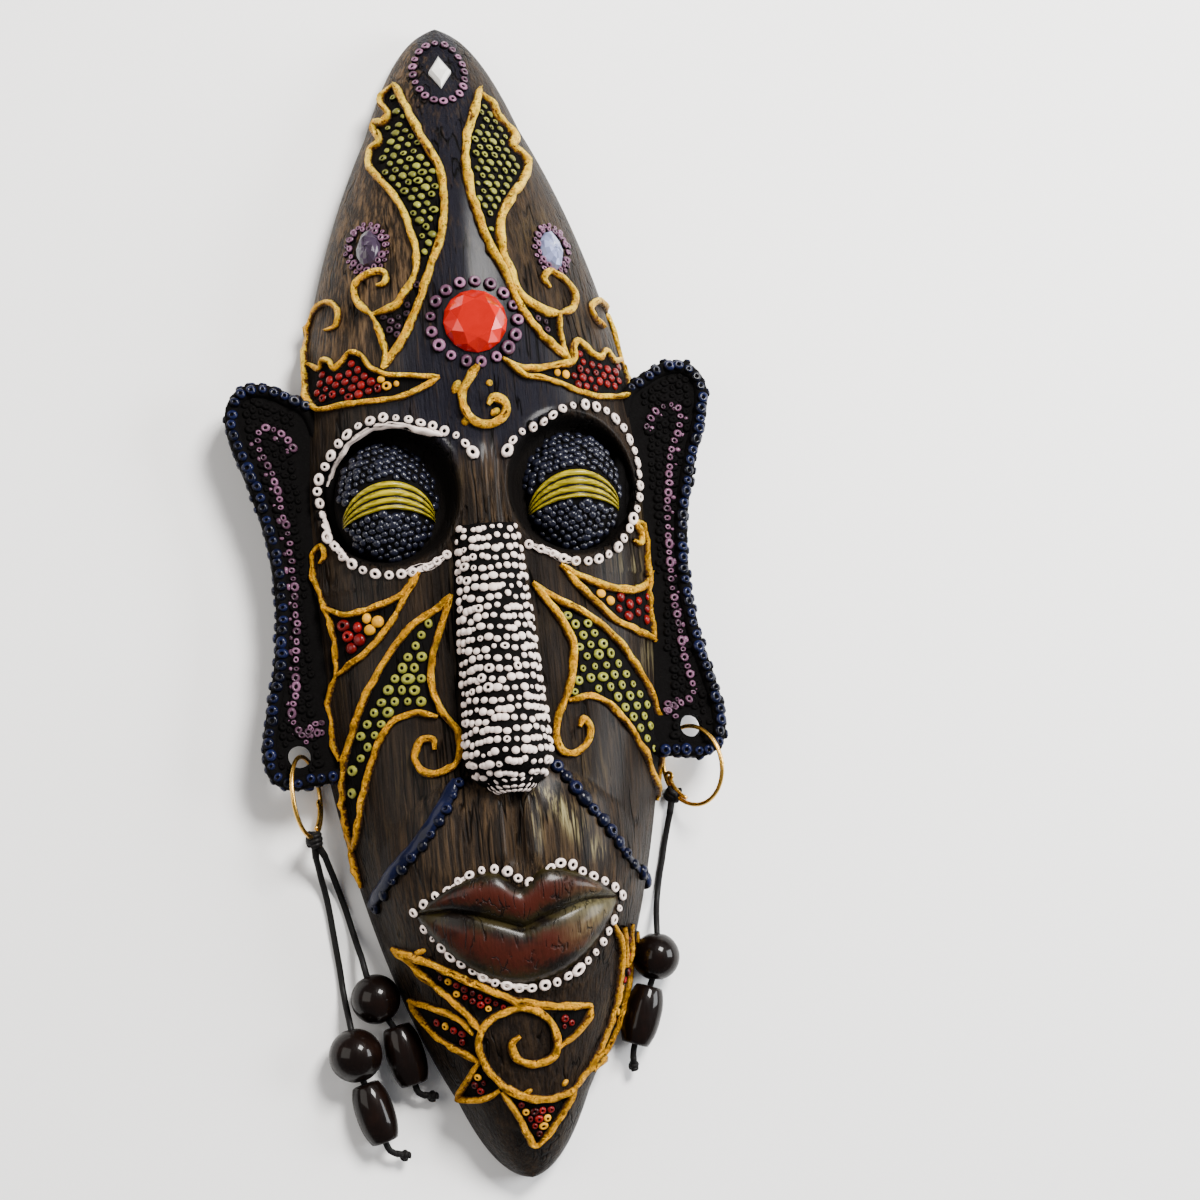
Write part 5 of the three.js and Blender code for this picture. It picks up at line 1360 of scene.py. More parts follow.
class MASK_OT_lips(bpy.types.Operator):
    """Build the two rolls of the lips"""

    bl_idname = "mask.lips"
    bl_label = "Lips"

    def execute(self, context):
        colours = context.scene.mask_colours
        lips = Parts("lift", "sheen")
        rows, columns = LIP_GRID
        share = LIP_END_SHARE * shares_across(columns)[None, :]
        part = np.linspace(0, 1, rows)[:, None]
        over = np.sin(math.pi * (0.04 + 0.92 * part))
        ends = np.sqrt(np.clip(1 - share**4, 0, 1))
        x = share * LIP_HALF_WIDTH + 0 * part
        rise = LIP_RISE * over**0.75 * ends - 0.35 * (1 - ends)
        rise = rise - 0.5 * smooth_step(0.9, 1.0, part) - 0.35 * (1 - smooth_step(0.0, 0.1, part))
        # Painted highlight: the right of the lips near the mouth line, stronger on the lower lip.
        pale_highlight = smooth_step(0.25, 0.8, share) * (1 - smooth_step(0.45, 0.8, part)) * ends
        faces = grid_faces(rows, columns)
        for edge_y, strength, turned in ((upper_lip_y, 0.4, faces), (lower_lip_y, 1.0, faces[:, ::-1])):
            y = mouth_line_y(share) + (edge_y(share) - mouth_line_y(share)) * part
            points = np.stack([x, y, face_at(x, y) + rise], -1)
            lips.add(points, turned, lift=(over * ends).reshape(-1), sheen=(pale_highlight * strength).reshape(-1))
        lips.made("lips", self.lip_paint(colours), "carved_resin")
        return {"FINISHED"}

    def lip_paint(self, colours):
        """Red brown on the full of the lips, dark in the mouth line and with a painted highlight at the
        right, with creases.
        """
        paint = Paint("lip_paint", coat=0.2, coat_roughness=0.2, specular=0.06)
        lift = paint.mark("lift")
        streaks = paint.noise(0.5, (1.0, 7.0, 1.0), detail=4.0)
        lines = paint.noise(1.1, (1.0, 16.0, 1.0), detail=1.0, rough=0.3) - 0.5
        crease = (1 - abs(lines) * 22.0).clamped() * paint.noise(3.5).between(0.5, 0.58)
        patches = paint.noise(4.0, (1.8, 1.0, 1.0))
        dark = shaded(colours.espresso, 0.7)
        full = (lift + (patches - 0.5) * 0.9 + (streaks - 0.5) * 0.5).between(0.5, 1.05)
        base = paint.mix(full, paint.mix(patches.between(0.4, 0.6), dark, colours.lip_olive), colours.lip)
        # Painted highlight, laid where the sheen mark is.
        sheen = (paint.mark("sheen") * (streaks * 1.6 + patches - 0.75)).clamped()
        base = paint.mix(sheen * 0.8, base, shaded(colours.cream_highlight, 0.8))
        paint.set("Base Color", paint.mix(crease * 0.7, base, shaded(dark, 0.4)))
        paint.set("Roughness", 0.3 + streaks * 0.2)
        paint.set("Normal", paint.bump(streaks * 0.5 - crease * 1.1, 0.35, 0.8))
        return paint.material


# Ears.


def ear_paths():
    """The right ear's outline, the way inward from it and the lobe hole, as [x, y]."""
    outline = through(EAR_OUTLINE, 0.7, looped=True)
    ahead = unit(np.roll(outline, -1, axis=0) - np.roll(outline, 1, axis=0))
    inward = np.column_stack([ahead[:, 1], -ahead[:, 0]])
    hole = ring_path(LOBE_HOLE["x"], LOBE_HOLE["y"], LOBE_HOLE["radius"], LOBE_HOLE["radius"], 28)
    return outline, inward, hole


EAR_RIM_PROFILE = (
    (0.25, EAR_BACK), (0.0, EAR_BACK + 0.3), (0.0, EAR_TOP - 0.6), (0.25, EAR_TOP - 0.12), (0.7, EAR_TOP),
    (1.35, EAR_TOP - 0.02), (1.85, EAR_TOP - 0.25), (EAR_RIM_WIDTH, EAR_FLOOR),
)
EAR_TONE = 0.3
EAR_FLOOR_FROM = 28.2
# The beads of the rim start right of these x at these y.
EAR_BEADS_FROM = ((-30, 0, 32), (24.5, 29.3, 26.0))
# The rim's two rows: distance in from the edge, height, lean outward, gap and radius.
EAR_RIM_BEADS = ((0.95, EAR_TOP - 0.2, 0.15, 1.78, 0.88), (0.12, EAR_TOP - 1.3, 0.95, 1.9, 0.7))
EAR_RIM_UNEVEN = {"place": 0.12, "size": 0.1}
EAR_BEAD_RISE = 0.7
EAR_BEAD_LIMITS = (0.75, 1.2)
EAR_STRETCH_LIMITS = (0.85, 1.25)
EAR_FLOOR_BEADS = {"pitch": 1.3, "turn": 25, "margin": 0.3, "radius": 0.6, "rise": 0.6, "uneven": 0.35}
CHAIN_BEADS = {"gap": 1.42, "radius": 0.66, "uneven": 0.22, "rise": 0.85}
CHAIN_SIDE_BEADS = {"gap": 2.6, "radius": 0.4, "uneven": 0.5, "across": 0.8, "down": 0.4}
LOBE_BEADS = {"count": 9, "spread": 0.9, "radius": 0.52, "rise": 0.9, "uneven": 0.3}


def floor_at(x, y):
    """The sunk middle of the ears."""
    return np.full(np.shape(x), EAR_FLOOR)


class MASK_OT_ears(bpy.types.Operator):
    """Build the ears with beaded rims, sunk middles, chains and pierced lobes"""

    bl_idname = "mask.ears"
    bl_label = "Ears"

    def execute(self, context):
        shape = context.scene.mask_shape
        colours = context.scene.mask_colours
        navy, lilac = colours.navy, colours.lilac
        rim_look = painted_relief(colours, "ear_bead_paint", navy, shaded(navy, 0.15))
        chain_look = painted_relief(colours, "ear_chain_paint", shaded(lilac, 0.72), shaded(lilac, 0.12))
        outline, inward, hole = ear_paths()
        rings = np.array([at_height(outline + inward * width, height) for width, height in EAR_RIM_PROFILE])
        faces = grid_faces(len(rings), len(outline), looped=True)
        for side, name in SIDES:
            mirror = np.array([side, 1, 1])
            ear = Parts(*RELIEF_MARKS)
            ear.add(rings * mirror, faces if side < 0 else faces[:, ::-1], lift=0.0, tone=EAR_TONE)
            for ring, height in ((rings[-1], EAR_FLOOR), (rings[0], EAR_BACK)):
                self.pierced_plate(ear, ring, hole, height, mirror)
            self.hole_wall(ear, hole, mirror)
            dice = np.random.default_rng(shape.seed + 5 * side)
            self.rim_beads(ear, outline, inward, mirror, dice)
            self.floor_beads(ear, rings[-1], hole, side, shape.seed)
            ear.made(f"ear_{name}", rim_look, "carved_resin")
            self.chain(side, name, chain_look, shape.seed + 2 + side)
        return {"FINISHED"}

    def chain(self, side, name, look, seed):
        """The chain of pierced beads down the ear, with smaller beads beside it and a few at the lobe."""
        chain = Parts(*RELIEF_MARKS)
        path = np.array(EAR_CHAIN) * [side, 1]
        beside = path[::2] + [side * CHAIN_SIDE_BEADS["across"], -CHAIN_SIDE_BEADS["down"]]
        rows = ((PIERCED_BEAD, path, CHAIN_BEADS), (ROUND_BEAD, beside, CHAIN_SIDE_BEADS))
        for profile, line, row in rows:
            places, alongs = places_along(line, row["gap"])
            beads_on(
                chain, profile, places, floor_at, row["radius"], CHAIN_BEADS["rise"], alongs, row["uneven"],
                seed=seed,
            )
        scatter = np.random.default_rng(seed).normal(0, LOBE_BEADS["spread"], (LOBE_BEADS["count"], 2))
        beads_on(
            chain, PIERCED_BEAD, path[-1] + scatter, floor_at, LOBE_BEADS["radius"], LOBE_BEADS["rise"],
            uneven=LOBE_BEADS["uneven"], seed=seed,
        )
        chain.made(f"ear_chain_{name}", look, "carved_resin")

    def pierced_plate(self, ear, ring, hole, height, mirror):
        """A flat face of the ear round its lobe hole."""
        loops = [[Vector((x, y, 0)) for x, y, *_ in loop] for loop in (ring, hole[::-1])]
        triangles = tessellate_polygon(loops)
        points = at_height(np.vstack([ring[:, :2], hole[::-1]]), height) * mirror
        ear.add(points, [list(t) for t in triangles], lift=0.0, tone=EAR_TONE)

    def hole_wall(self, ear, hole, mirror):
        """The bore through the lobe."""
        rings = np.array([at_height(hole, z) for z in (EAR_BACK, EAR_FLOOR)])
        faces = grid_faces(2, len(hole), looped=True)
        ear.add(rings * mirror, faces[:, ::-1] if mirror[0] < 0 else faces, lift=0.0, tone=EAR_TONE)

    def rim_beads(self, ear, outline, inward, mirror, dice):
        """A row of navy beads over the rim and a smaller one down its outer side."""
        closed = np.vstack([outline, outline[:1]])
        inner = np.vstack([inward, inward[:1]])
        for width, height, lean, gap, radius in EAR_RIM_BEADS:
            line = spaced(at_height(closed + inner * width, height), gap)
            share, places = (np.linspace(0, 1, len(some)) for some in (line, inner))
            outward = -np.column_stack([np.interp(share, places, inner[:, i]) for i in (0, 1)])
            keep = line[:, 0] > np.interp(line[:, 1], *EAR_BEADS_FROM)
            normals = unit(at_height(outward * lean, 1.05 - lean)) * mirror
            line = (line + dice.normal(0, EAR_RIM_UNEVEN["place"], line.shape)) * mirror
            alongs = np.gradient(line, axis=0)
            count = int(keep.sum())
            radii = radius * dice.normal(1, EAR_RIM_UNEVEN["size"], count).clip(*EAR_BEAD_LIMITS)
            stretches = dice.normal(1, EAR_RIM_UNEVEN["size"], count).clip(*EAR_STRETCH_LIMITS)
            set_beads(
                ear, DIMPLED_BEAD, line[keep], normals[keep], alongs[keep], radii,
                np.full(count, EAR_BEAD_RISE), stretches, dice.random(count),
            )

    def floor_beads(self, ear, ring, hole, side, seed):
        """The rough dark middle of the ear, of low beads with little paint on them."""
        beads = EAR_FLOOR_BEADS
        spots = filled(ring[:, :2], beads["pitch"], beads["turn"], beads["margin"])
        away = np.linalg.norm(spots - hole.mean(axis=0), axis=1) > LOBE_HOLE["radius"] + 0.6
        spots = spots[away & (spots[:, 0] > EAR_FLOOR_FROM)] * [side, 1]
        rough = Parts("lift")
        beads_on(
            rough, DIMPLED_BEAD, spots, floor_at, beads["radius"], beads["rise"], uneven=beads["uneven"],
            stretch=1.1, seed=seed,
        )
        lift = np.concatenate(rough.marks["lift"]) * 0.3
        # These beads take a low lit value, so they are painted as on the side away from the light.
        ear.add(np.vstack(rough.points), rough.faces, lift=lift, tone=0.9, lit=0.3)


# Scrolls and bead work.


class MASK_OT_scrolls(bpy.types.Operator):
    """Build the raised gold scrolls"""

    bl_idname = "mask.scrolls"
    bl_label = "Scrolls"

    def execute(self, context):
        shape = context.scene.mask_shape
        scrolls = Parts(*RELIEF_MARKS)
        for index, (path, width) in enumerate(SCROLLS):
            seed = shape.seed + index
            add_ridge(scrolls, path, width * shape.scroll_width, shape.scroll_proud, shape.waver, seed)
        dice = np.random.default_rng(shape.seed)
        for x, y, half_width, half_height in GOLD_BLOBS:
            turn = math.atan2(half_height, half_width) * dice.choice([-1, 1])
            along = np.array([[math.cos(turn), math.sin(turn)]])
            radius = min(half_width, half_height)
            stretch = max(half_width, half_height) / radius
            beads_on(scrolls, ROUND_BEAD, [[x, y]], carved_at, radius, 0.55, along, 0.0, stretch, shape.seed)
        scrolls.made("gold_scrolls", self.gold_paint(context.scene.mask_colours), "gold_paint")
        return {"FINISHED"}

    def gold_paint(self, colours):
        """Matt gold with painted light: lighter on its lit side and to the upper right, painted shade on the
        far side, orange brown where it is rubbed off.
        """
        paint = Paint("gold_scroll_paint", specular=0.1)
        lift = paint.mark("lift")
        lit = paint.mark("lit")
        x, y = paint.axes()[:2]
        brush = paint.noise(1.3, detail=5.0, rough=0.65)
        grime_and_shade = paint.noise(0.8, detail=5.0, rough=0.7)
        wide = paint.noise(5.0)
        # Painted highlight: lighter to the upper right and on the side that faces the light, varied by brush
        # noise.
        pale_highlight = (x * 9.0 + y * 9.0 + (lit - 0.5) * 1.8 + (brush - 0.5) * 3.6).clamped()
        gold = paint.mix(pale_highlight, colours.gold, colours.gold_highlight)
        # Painted shade on the side away from the light, mixed with dirt noise and broad patches; the paint
        # also shows more on the lit side.
        shade = (0.6 - lit) * 1.3 + (grime_and_shade - 0.5) * 5.0 + (wide - 0.5) * 1.8 - y * 3.0 * wide + 0.1
        gold = paint.mix(shade.clamped() * 0.9, gold, shaded(colours.gold, 0.2))
        shown = (lift * ((lit - 0.5) * 0.5 + 1) + (grime_and_shade - 0.5) * 2.6).between(0.36, 0.72)
        edge = paint.mix((lift * 2.0 + (grime_and_shade - 0.55)).clamped(), black_relief(colours), colours.gold_deep)
        paint.set("Base Color", paint.mix(shown, edge, gold))
        paint.set("Metallic", shown * 0.8)
        paint.set("Roughness", 0.1 + grime_and_shade * 0.42)
        paint.set("Normal", paint.bump(brush * 0.8 + grime_and_shade * 0.8, 0.9))
        return paint.material


# Each kind of panel bead: colour and its share, its share in the hollows, radius over pitch, share pierced.
BEAD_KINDS = {
    "leaf": ("olive", 1.0, 0.3, 0.41, 0.35), "olive": ("olive", 1.0, 0.3, 0.38, 0.3),
    "red": ("red", 1.0, 0.3, 0.45, 0.15), "black": ("lilac", 0.2, 0.12, 0.42, 0.4),
    "ember": ("red", 1.0, 0.12, 0.44, 0.35),
}
SCROLL_CLEARANCE = 0.5
GILT_REACH = 2.4
GILT_SHARE = 0.2
PANEL_UNEVEN = 0.13


class MASK_OT_panels(bpy.types.Operator):
    """Fill the panels between the scrolls with beads"""

    bl_idname = "mask.panels"
    bl_label = "Beaded panels"

    def execute(self, context):
        shape = context.scene.mask_shape
        colours = context.scene.mask_colours
        groups = {kind: Parts(*RELIEF_MARKS) for kind in BEAD_KINDS}
        gilded = Parts(*RELIEF_MARKS)
        for index, (outline, kind, pitch, turn) in enumerate(PANELS):
            *_, radius_share, pierced_share = BEAD_KINDS[kind]
            radius = pitch * radius_share
            spots = filled(outline, pitch, turn, SCROLL_CLEARANCE + radius * 0.85)
            if not len(spots):
                continue
            dice = np.random.default_rng(shape.seed + index)
            gilt = np.zeros(len(spots), bool)
            if kind == "red":
                from_middle = np.abs(spots[:, 0])
                gilt = from_middle < from_middle.min() + GILT_REACH
            if kind == "ember":
                gilt = dice.random(len(spots)) < GILT_SHARE
            pierced = dice.random(len(spots)) < pierced_share
            closed = ROUND_BEAD if kind in ("leaf", "red") else DIMPLED_BEAD
            for profile, chosen in ((PIERCED_BEAD, pierced), (closed, ~pierced)):
                for parts, some in ((groups[kind], chosen & ~gilt), (gilded, chosen & gilt)):
                    beads_on(
                        parts, profile, spots[some], carved_at, radius, shape.bead_rise, uneven=PANEL_UNEVEN,
                        seed=index,
                    )
        for kind, (field, share, deep_share, *_) in BEAD_KINDS.items():
            colour = shaded(getattr(colours, field), share)
            look = painted_relief(colours, f"{kind}_bead_paint", colour, shaded(colour, deep_share))
            groups[kind].made(f"{kind}_beads", look, "bead_paint")
        gilt_look = painted_relief(colours, "gilt_bead_paint", colours.gold, colours.gold_deep)
        gilded.made("gilt_beads", gilt_look, "bead_paint")
        return {"FINISHED"}


# White rows: the path, and the stretches of it where the beads run together.
WHITE_ROWS = (
    (EYE_RING_LEFT, ((9, 12), (13, 16))), (EYE_RING_RIGHT, ((13, 16),)), (LIP_TOP, ((3, 5),)),
    (LIP_BOTTOM, ((7, 11),)),
)
WHITE_GAP = 1.9
WHITE_CLOSED_SHARE = 0.3
INNER_STROKE = {"from": 2, "to": 9, "inset": 0.85, "width": 1.25, "proud": 0.6, "waver": 0.3}
JOINED_STROKE = {"width": 1.15, "proud": 0.45, "waver": 0.45}
# Cheek ridges: path, width, height, waver, and its beads' path, gap, radius and height of their seat.
CHEEK_ROWS = (
    (CHEEK_RIDGE_LEFT, 2.3, 0.9, 0.08, np.array(CHEEK_RIDGE_LEFT) + [0.5, -0.35], 2.3, 0.82, 0.4),
    (CHEEK_RIDGE_RIGHT, 1.2, 0.35, 0.1, CHEEK_RIDGE_RIGHT, 2.1, 1.0, 0.2),
)


def seat_at(x, y, rise):
    """The face raised by a ridge's height."""
    return carved_at(x, y) + rise


class MASK_OT_bead_rows(bpy.types.Operator):
    """Build the rows of beads round the eyes, lips and stones, and down the cheeks"""

    bl_idname = "mask.bead_rows"
    bl_label = "Bead rows"

    def execute(self, context):
        shape = context.scene.mask_shape
        colours = context.scene.mask_colours
        self.white_rows(shape, colours)
        self.navy_rows(shape, colours)
        self.lilac_rings(shape, colours)
        return {"FINISHED"}

    def white_rows(self, shape, colours):
        """White beads round the eyes and lips, run together here and there."""
        rows = Parts(*RELIEF_MARKS)
        seed = shape.seed
        for path, joined in WHITE_ROWS:
            places, alongs = places_along(path, WHITE_GAP)
            closed = np.random.default_rng(seed + len(places)).random(len(places)) < WHITE_CLOSED_SHARE
            for profile, some, radius in ((PIERCED_BEAD, ~closed, 0.83), (DIMPLED_BEAD, closed, 0.8)):
                beads_on(
                    rows, profile, places[some], carved_at, radius, shape.bead_rise, alongs[some], 0.17, 1.08,
                    seed,
                )
            for start, end in joined:
                add_ridge(rows, path[start:end], **JOINED_STROKE, seed=seed + start)
        centre = np.array([-EYE["x"], EYE["y"]])
        stroke = dict(INNER_STROKE)
        inner = np.array(EYE_RING_LEFT[stroke.pop("from"):stroke.pop("to")]) - centre
        inner = centre + inner - unit(inner) * stroke.pop("inset")
        add_ridge(rows, inner, **stroke, seed=seed)
        look = painted_relief(colours, "white_bead_paint", colours.white, shaded(colours.white, 0.7))
        rows.made("white_beads", look, "bead_paint")

    def navy_rows(self, shape, colours):
        """A blue ridge edged with beads on the left cheek and a row of beads on the right."""
        rows = Parts(*RELIEF_MARKS)
        for path, width, proud, waver, *_ in CHEEK_ROWS:
            add_ridge(rows, path, width, proud, waver, shape.seed)
        for *_, path, gap, radius, rise in CHEEK_ROWS:
            places, alongs = places_along(path, gap)
            seat = partial(seat_at, rise=rise)
            for first, profile in ((0, DIMPLED_BEAD), (1, ROUND_BEAD)):
                beads_on(
                    rows, profile, places[first::2], seat, radius, 0.8, alongs[first::2], 0.12, 1.05,
                    shape.seed + first + 1,
                )
        navy = colours.navy
        look = painted_relief(colours, "cheek_ridge_paint", shaded(navy, 0.75), shaded(navy, 0.15))
        rows.made("cheek_ridges", look, "bead_paint")

    def lilac_rings(self, shape, colours):
        """Pierced lilac beads round the stones."""
        rings = Parts(*RELIEF_MARKS)
        for ring in (GEM_RING, CROWN_RING):
            path = ring_path(ring["x"], ring["y"], ring["half_width"], ring["half_height"])
            around = through(path, PATH_STEP, looped=True)
            around = np.vstack([around, around[:1]])
            places = spaced(around, run_lengths(around)[-1] / ring["beads"])[:-1]
            alongs = np.gradient(places, axis=0)
            beads_on(rings, PIERCED_BEAD, places, carved_at, ring["radius"], 0.75, alongs, seed=shape.seed)
        half_width, half_height = STONE_RING["half_width"], STONE_RING["half_height"]
        for x, y in STONES:
            for share, radius, count in ((1.0, STONE_RING["radius"], STONE_RING["beads"]), (1.2, 0.45, 20)):
                path = ring_path(x, y, half_width * share, half_height * share, count)
                seed = shape.seed + int(10 * share)
                beads_on(rings, PIERCED_BEAD, path, carved_at, radius, 0.9, uneven=0.28, seed=seed)
        look = painted_relief(colours, "lilac_bead_paint", colours.lilac, shaded(colours.lilac, 0.22))
        rings.made("lilac_beads", look, "bead_paint")


# Stones.


def box_in_mm(node):
    """A CAD node's lowest and highest corner, in millimetres."""
    return (np.array(corner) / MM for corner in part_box(node))


def facet_ring(radius, height, count, turn=0.0):
    """Points of one ring of a cut stone."""
    angles = (np.arange(count) + turn) * 2 * math.pi / count
    return at_height(radius * np.column_stack([np.cos(angles), np.sin(angles)]), height).tolist()


def cut_stone(radius, height, count=8):
    """A round stone with a flat table and three rows of facets, as points and faces."""
    table = facet_ring(0.6 * radius, height, count)
    shoulder = facet_ring(0.84 * radius, 0.74 * height, count, 0.5)
    girdle = facet_ring(radius, 0.3 * height, 2 * count)
    foot = facet_ring(0.98 * radius, 0.0, 2 * count)
    points = table + shoulder + girdle + foot
    faces = [list(range(count)), list(range(len(points)))[:-2 * count - 1:-1]]
    first_girdle, first_foot = 2 * count, 4 * count
    for i in range(count):
        after = (i + 1) % count
        low, beyond = first_girdle + 2 * i, first_girdle + 2 * after
        faces.append([i, count + i, after])
        faces.append([after, count + i, beyond, count + after])
        faces.append([count + i, low, low + 1])
        faces.append([count + i, low + 1, beyond])
    for i in range(2 * count):
        after = (i + 1) % (2 * count)
        faces.append([first_girdle + i, first_foot + i, first_foot + after, first_girdle + after])
    return np.array(points), faces


def glass(name, colour, roughness, tone_share, metallic):
    """Foil-backed glass whose facets differ a little in tone."""
    paint = Paint(name, roughness=roughness, metallic=metallic, coat=0.35, coat_roughness=0.03, specular=0.25)
    tone = paint.mark("tone")
    bright = tuple(min(value * 1.3 + 0.003, 1.0) for value in colour)
    dark = shaded(colour, 0.6)
    cloud = paint.noise(2.2)
    share = (0.5 + (tone - 0.5) * tone_share * 2 + (cloud - 0.5) * 0.4).clamped()
    paint.set("Base Color", paint.mix(share, dark, bright))
    return paint.material


def split_facets(points, faces, seed):
    """Separate facets, each with a tone of its own."""
    dice = np.random.default_rng(seed)
    parts = Parts("tone")
    for face in faces:
        parts.add(points[list(face)], [list(range(len(face)))], tone=dice.random())
    return parts


def seated(points, x, y, sink):
    """Points of a stone turned to lie on the face at x, y."""
    normal = Vector(normals_on(face_at, np.array([x]), np.array([y]))[0])
    up = (Vector((0, 1, 0)) - normal * normal.y).normalized()
    turn = np.array([up.cross(normal), up, normal]).T
    place = np.array([x, y, face_at(np.array(x), np.array(y))]) - sink * np.array(normal)
    return points @ turn.T + place


STONE_SIDES = 14
# Each cut ring's share of the outline and its height.
STONE_RINGS = ((1.0, 0.0), (1.02, 0.9), (0.9, 1.6), (0.62, 2.05), (0.3, 2.2), (0.05, 2.2))
CHIP_RINGS = ((1.0, 0.0), (1.0, 1.15), (0.72, 1.75), (0.02, 1.8))
CHIP_CORNERS = ((1.8, 0), (0, 3.3), (-1.8, 0), (0, -3.3))
STONE_SINK = 0.8


class MASK_OT_stones(bpy.types.Operator):
    """Build the forehead gem, the temple stones and the crown chip"""

    bl_idname = "mask.stones"
    bl_label = "Stones"

    def execute(self, context):
        shape = context.scene.mask_shape
        colours = context.scene.mask_colours
        low, high = box_in_mm("forehead_gem")
        centre = (low + high) / 2
        points, faces = cut_stone((high[0] - low[0]) / 2, high[2] - low[2])
        points = points + [centre[0], centre[1], low[2]]
        gem = split_facets(points, faces, shape.seed + 4)
        look = glass("gem_glass", colours.gem, 0.07, 0.5, 0.1)
        gem.made("gem", look, "red_glass", smooth=False, replaces=("forehead_gem",))
        self.temple_stones(shape, colours)
        self.crown_chip(shape, colours)
        return {"FINISHED"}

    def temple_stones(self, shape, colours):
        """Two rough teardrop stones."""
        for name, colour in (("left", colours.stone_left), ("right", colours.stone_right)):
            low, high = box_in_mm(f"temple_stone_{name}")
            x, y = (low + high)[:2] / 2
            dice = np.random.default_rng(shape.seed + len(name))
            rings = []
            turn = full_turn(STONE_SIDES)
            pinch = 1 - 0.3 * np.maximum(np.sin(turn), 0) ** 2
            outline = np.column_stack([STONE_HALF[0] * np.cos(turn) * pinch, STONE_HALF[1] * np.sin(turn)])
            for share, height in STONE_RINGS:
                rough = dice.normal(1, 0.045, (STONE_SIDES, 1))
                rings.append(at_height(outline * share * rough, height + dice.normal(0, 0.07, STONE_SIDES)))
            faces = grid_faces(len(rings), STONE_SIDES, looped=True).tolist()
            points = seated(np.vstack(rings), x, y, STONE_SINK)
            stone = split_facets(points, faces, shape.seed)
            look = glass(f"{name}_stone_glass", colour, 0.22, 0.55, 0.0)
            stone.made(f"stone_{name}", look, "lilac_glass", smooth=False, replaces=(f"temple_stone_{name}",))

    def crown_chip(self, shape, colours):
        """A small diamond-shaped chip with bevelled edges."""
        low, high = box_in_mm("crown_diamond")
        x, y = (low + high)[:2] / 2
        rings = [at_height(np.array(CHIP_CORNERS) * share, height) for share, height in CHIP_RINGS]
        faces = grid_faces(len(rings), len(CHIP_CORNERS), looped=True).tolist()
        chip = split_facets(seated(np.vstack(rings), x, y, STONE_SINK), faces, shape.seed)
        look = glass("crown_chip_glass", colours.chip, 0.12, 0.25, 0.0)
        chip.made("chip", look, "clear_glass", smooth=False, replaces=("crown_diamond",))


# Earrings.


def hoop_frame(side, lean, pitch, tilt):
    """The hoop's centre and its two directions, from its lobe hole."""
    lean, pitch, tilt = (math.radians(value) for value in (lean, pitch, tilt))
    hole = np.array([side * LOBE_HOLE["x"], LOBE_HOLE["y"], EAR_MIDDLE])
    down = unit(np.array([-side * math.sin(lean), -math.cos(lean) * math.cos(pitch), -math.sin(pitch)]))
    out = np.array([side * math.cos(tilt), 0, math.sin(tilt)])
    return hole + down * HOOP_RADIUS, down, unit(out - down * (out @ down))


TUBE_START = (0.31, 0.22, 0.92)


def tube(parts, path, radius, sides=10, closed=False):
    """Adds a round tube along a path of points."""
    path = np.asarray(path, float)
    count = len(path)
    if closed:
        along = np.roll(path, -1, axis=0) - np.roll(path, 1, axis=0)
    else:
        along = np.gradient(path, axis=0)
    along = unit(along)
    side = np.cross(along[0], TUBE_START)
    acrosses = []
    for direction in along:
        side = unit(side - direction * (side @ direction))
        acrosses.append(side)
    acrosses = np.array(acrosses)
    ups = np.cross(along, acrosses)
    turn = full_turn(sides)
    ring = acrosses[:, None, :] * np.cos(turn)[None, :, None] + ups[:, None, :] * np.sin(turn)[None, :, None]
    points = path[:, None, :] + ring * radius
    faces = grid_faces(count, sides, looped=True).tolist()
    if closed:
        faces += joining_faces(count, sides)
    else:
        faces += [list(range(sides))[::-1], last_ring(count, sides)]
    parts.add(points, faces)


KNOT_START = (0.2, 0.9, 0.4)


def knot_ball(parts, centre, along, size, wraps, strand):
    """Adds a knot of a few wraps of cord round a direction."""
    along = unit(np.array(along, float))
    side = unit(np.cross(along, KNOT_START))
    up = np.cross(along, side)
    turn = np.linspace(0, 2 * math.pi * wraps, 22 * wraps)
    drift = np.linspace(-size * 0.75, size * 0.75, len(turn))
    radius = (size - strand) * (0.75 + 0.25 * np.sin(np.linspace(0.4, math.pi - 0.4, len(turn))))
    wrap = side * np.cos(turn)[:, None] + up * np.sin(turn)[:, None]
    tube(parts, centre + along * drift[:, None] + wrap * radius[:, None], strand)
    cross = centre + up * size * 0.95 + np.outer(np.linspace(-0.9, 0.9, 9), along + side * 0.6) * size * 0.7
    tube(parts, cross - up * (np.linspace(-1, 1, 9)[:, None] ** 2) * size * 0.5, strand * 0.95)
    tube(parts, centre + along * np.linspace(-1, 1, 5)[:, None] * size * 0.8, size * 0.6)


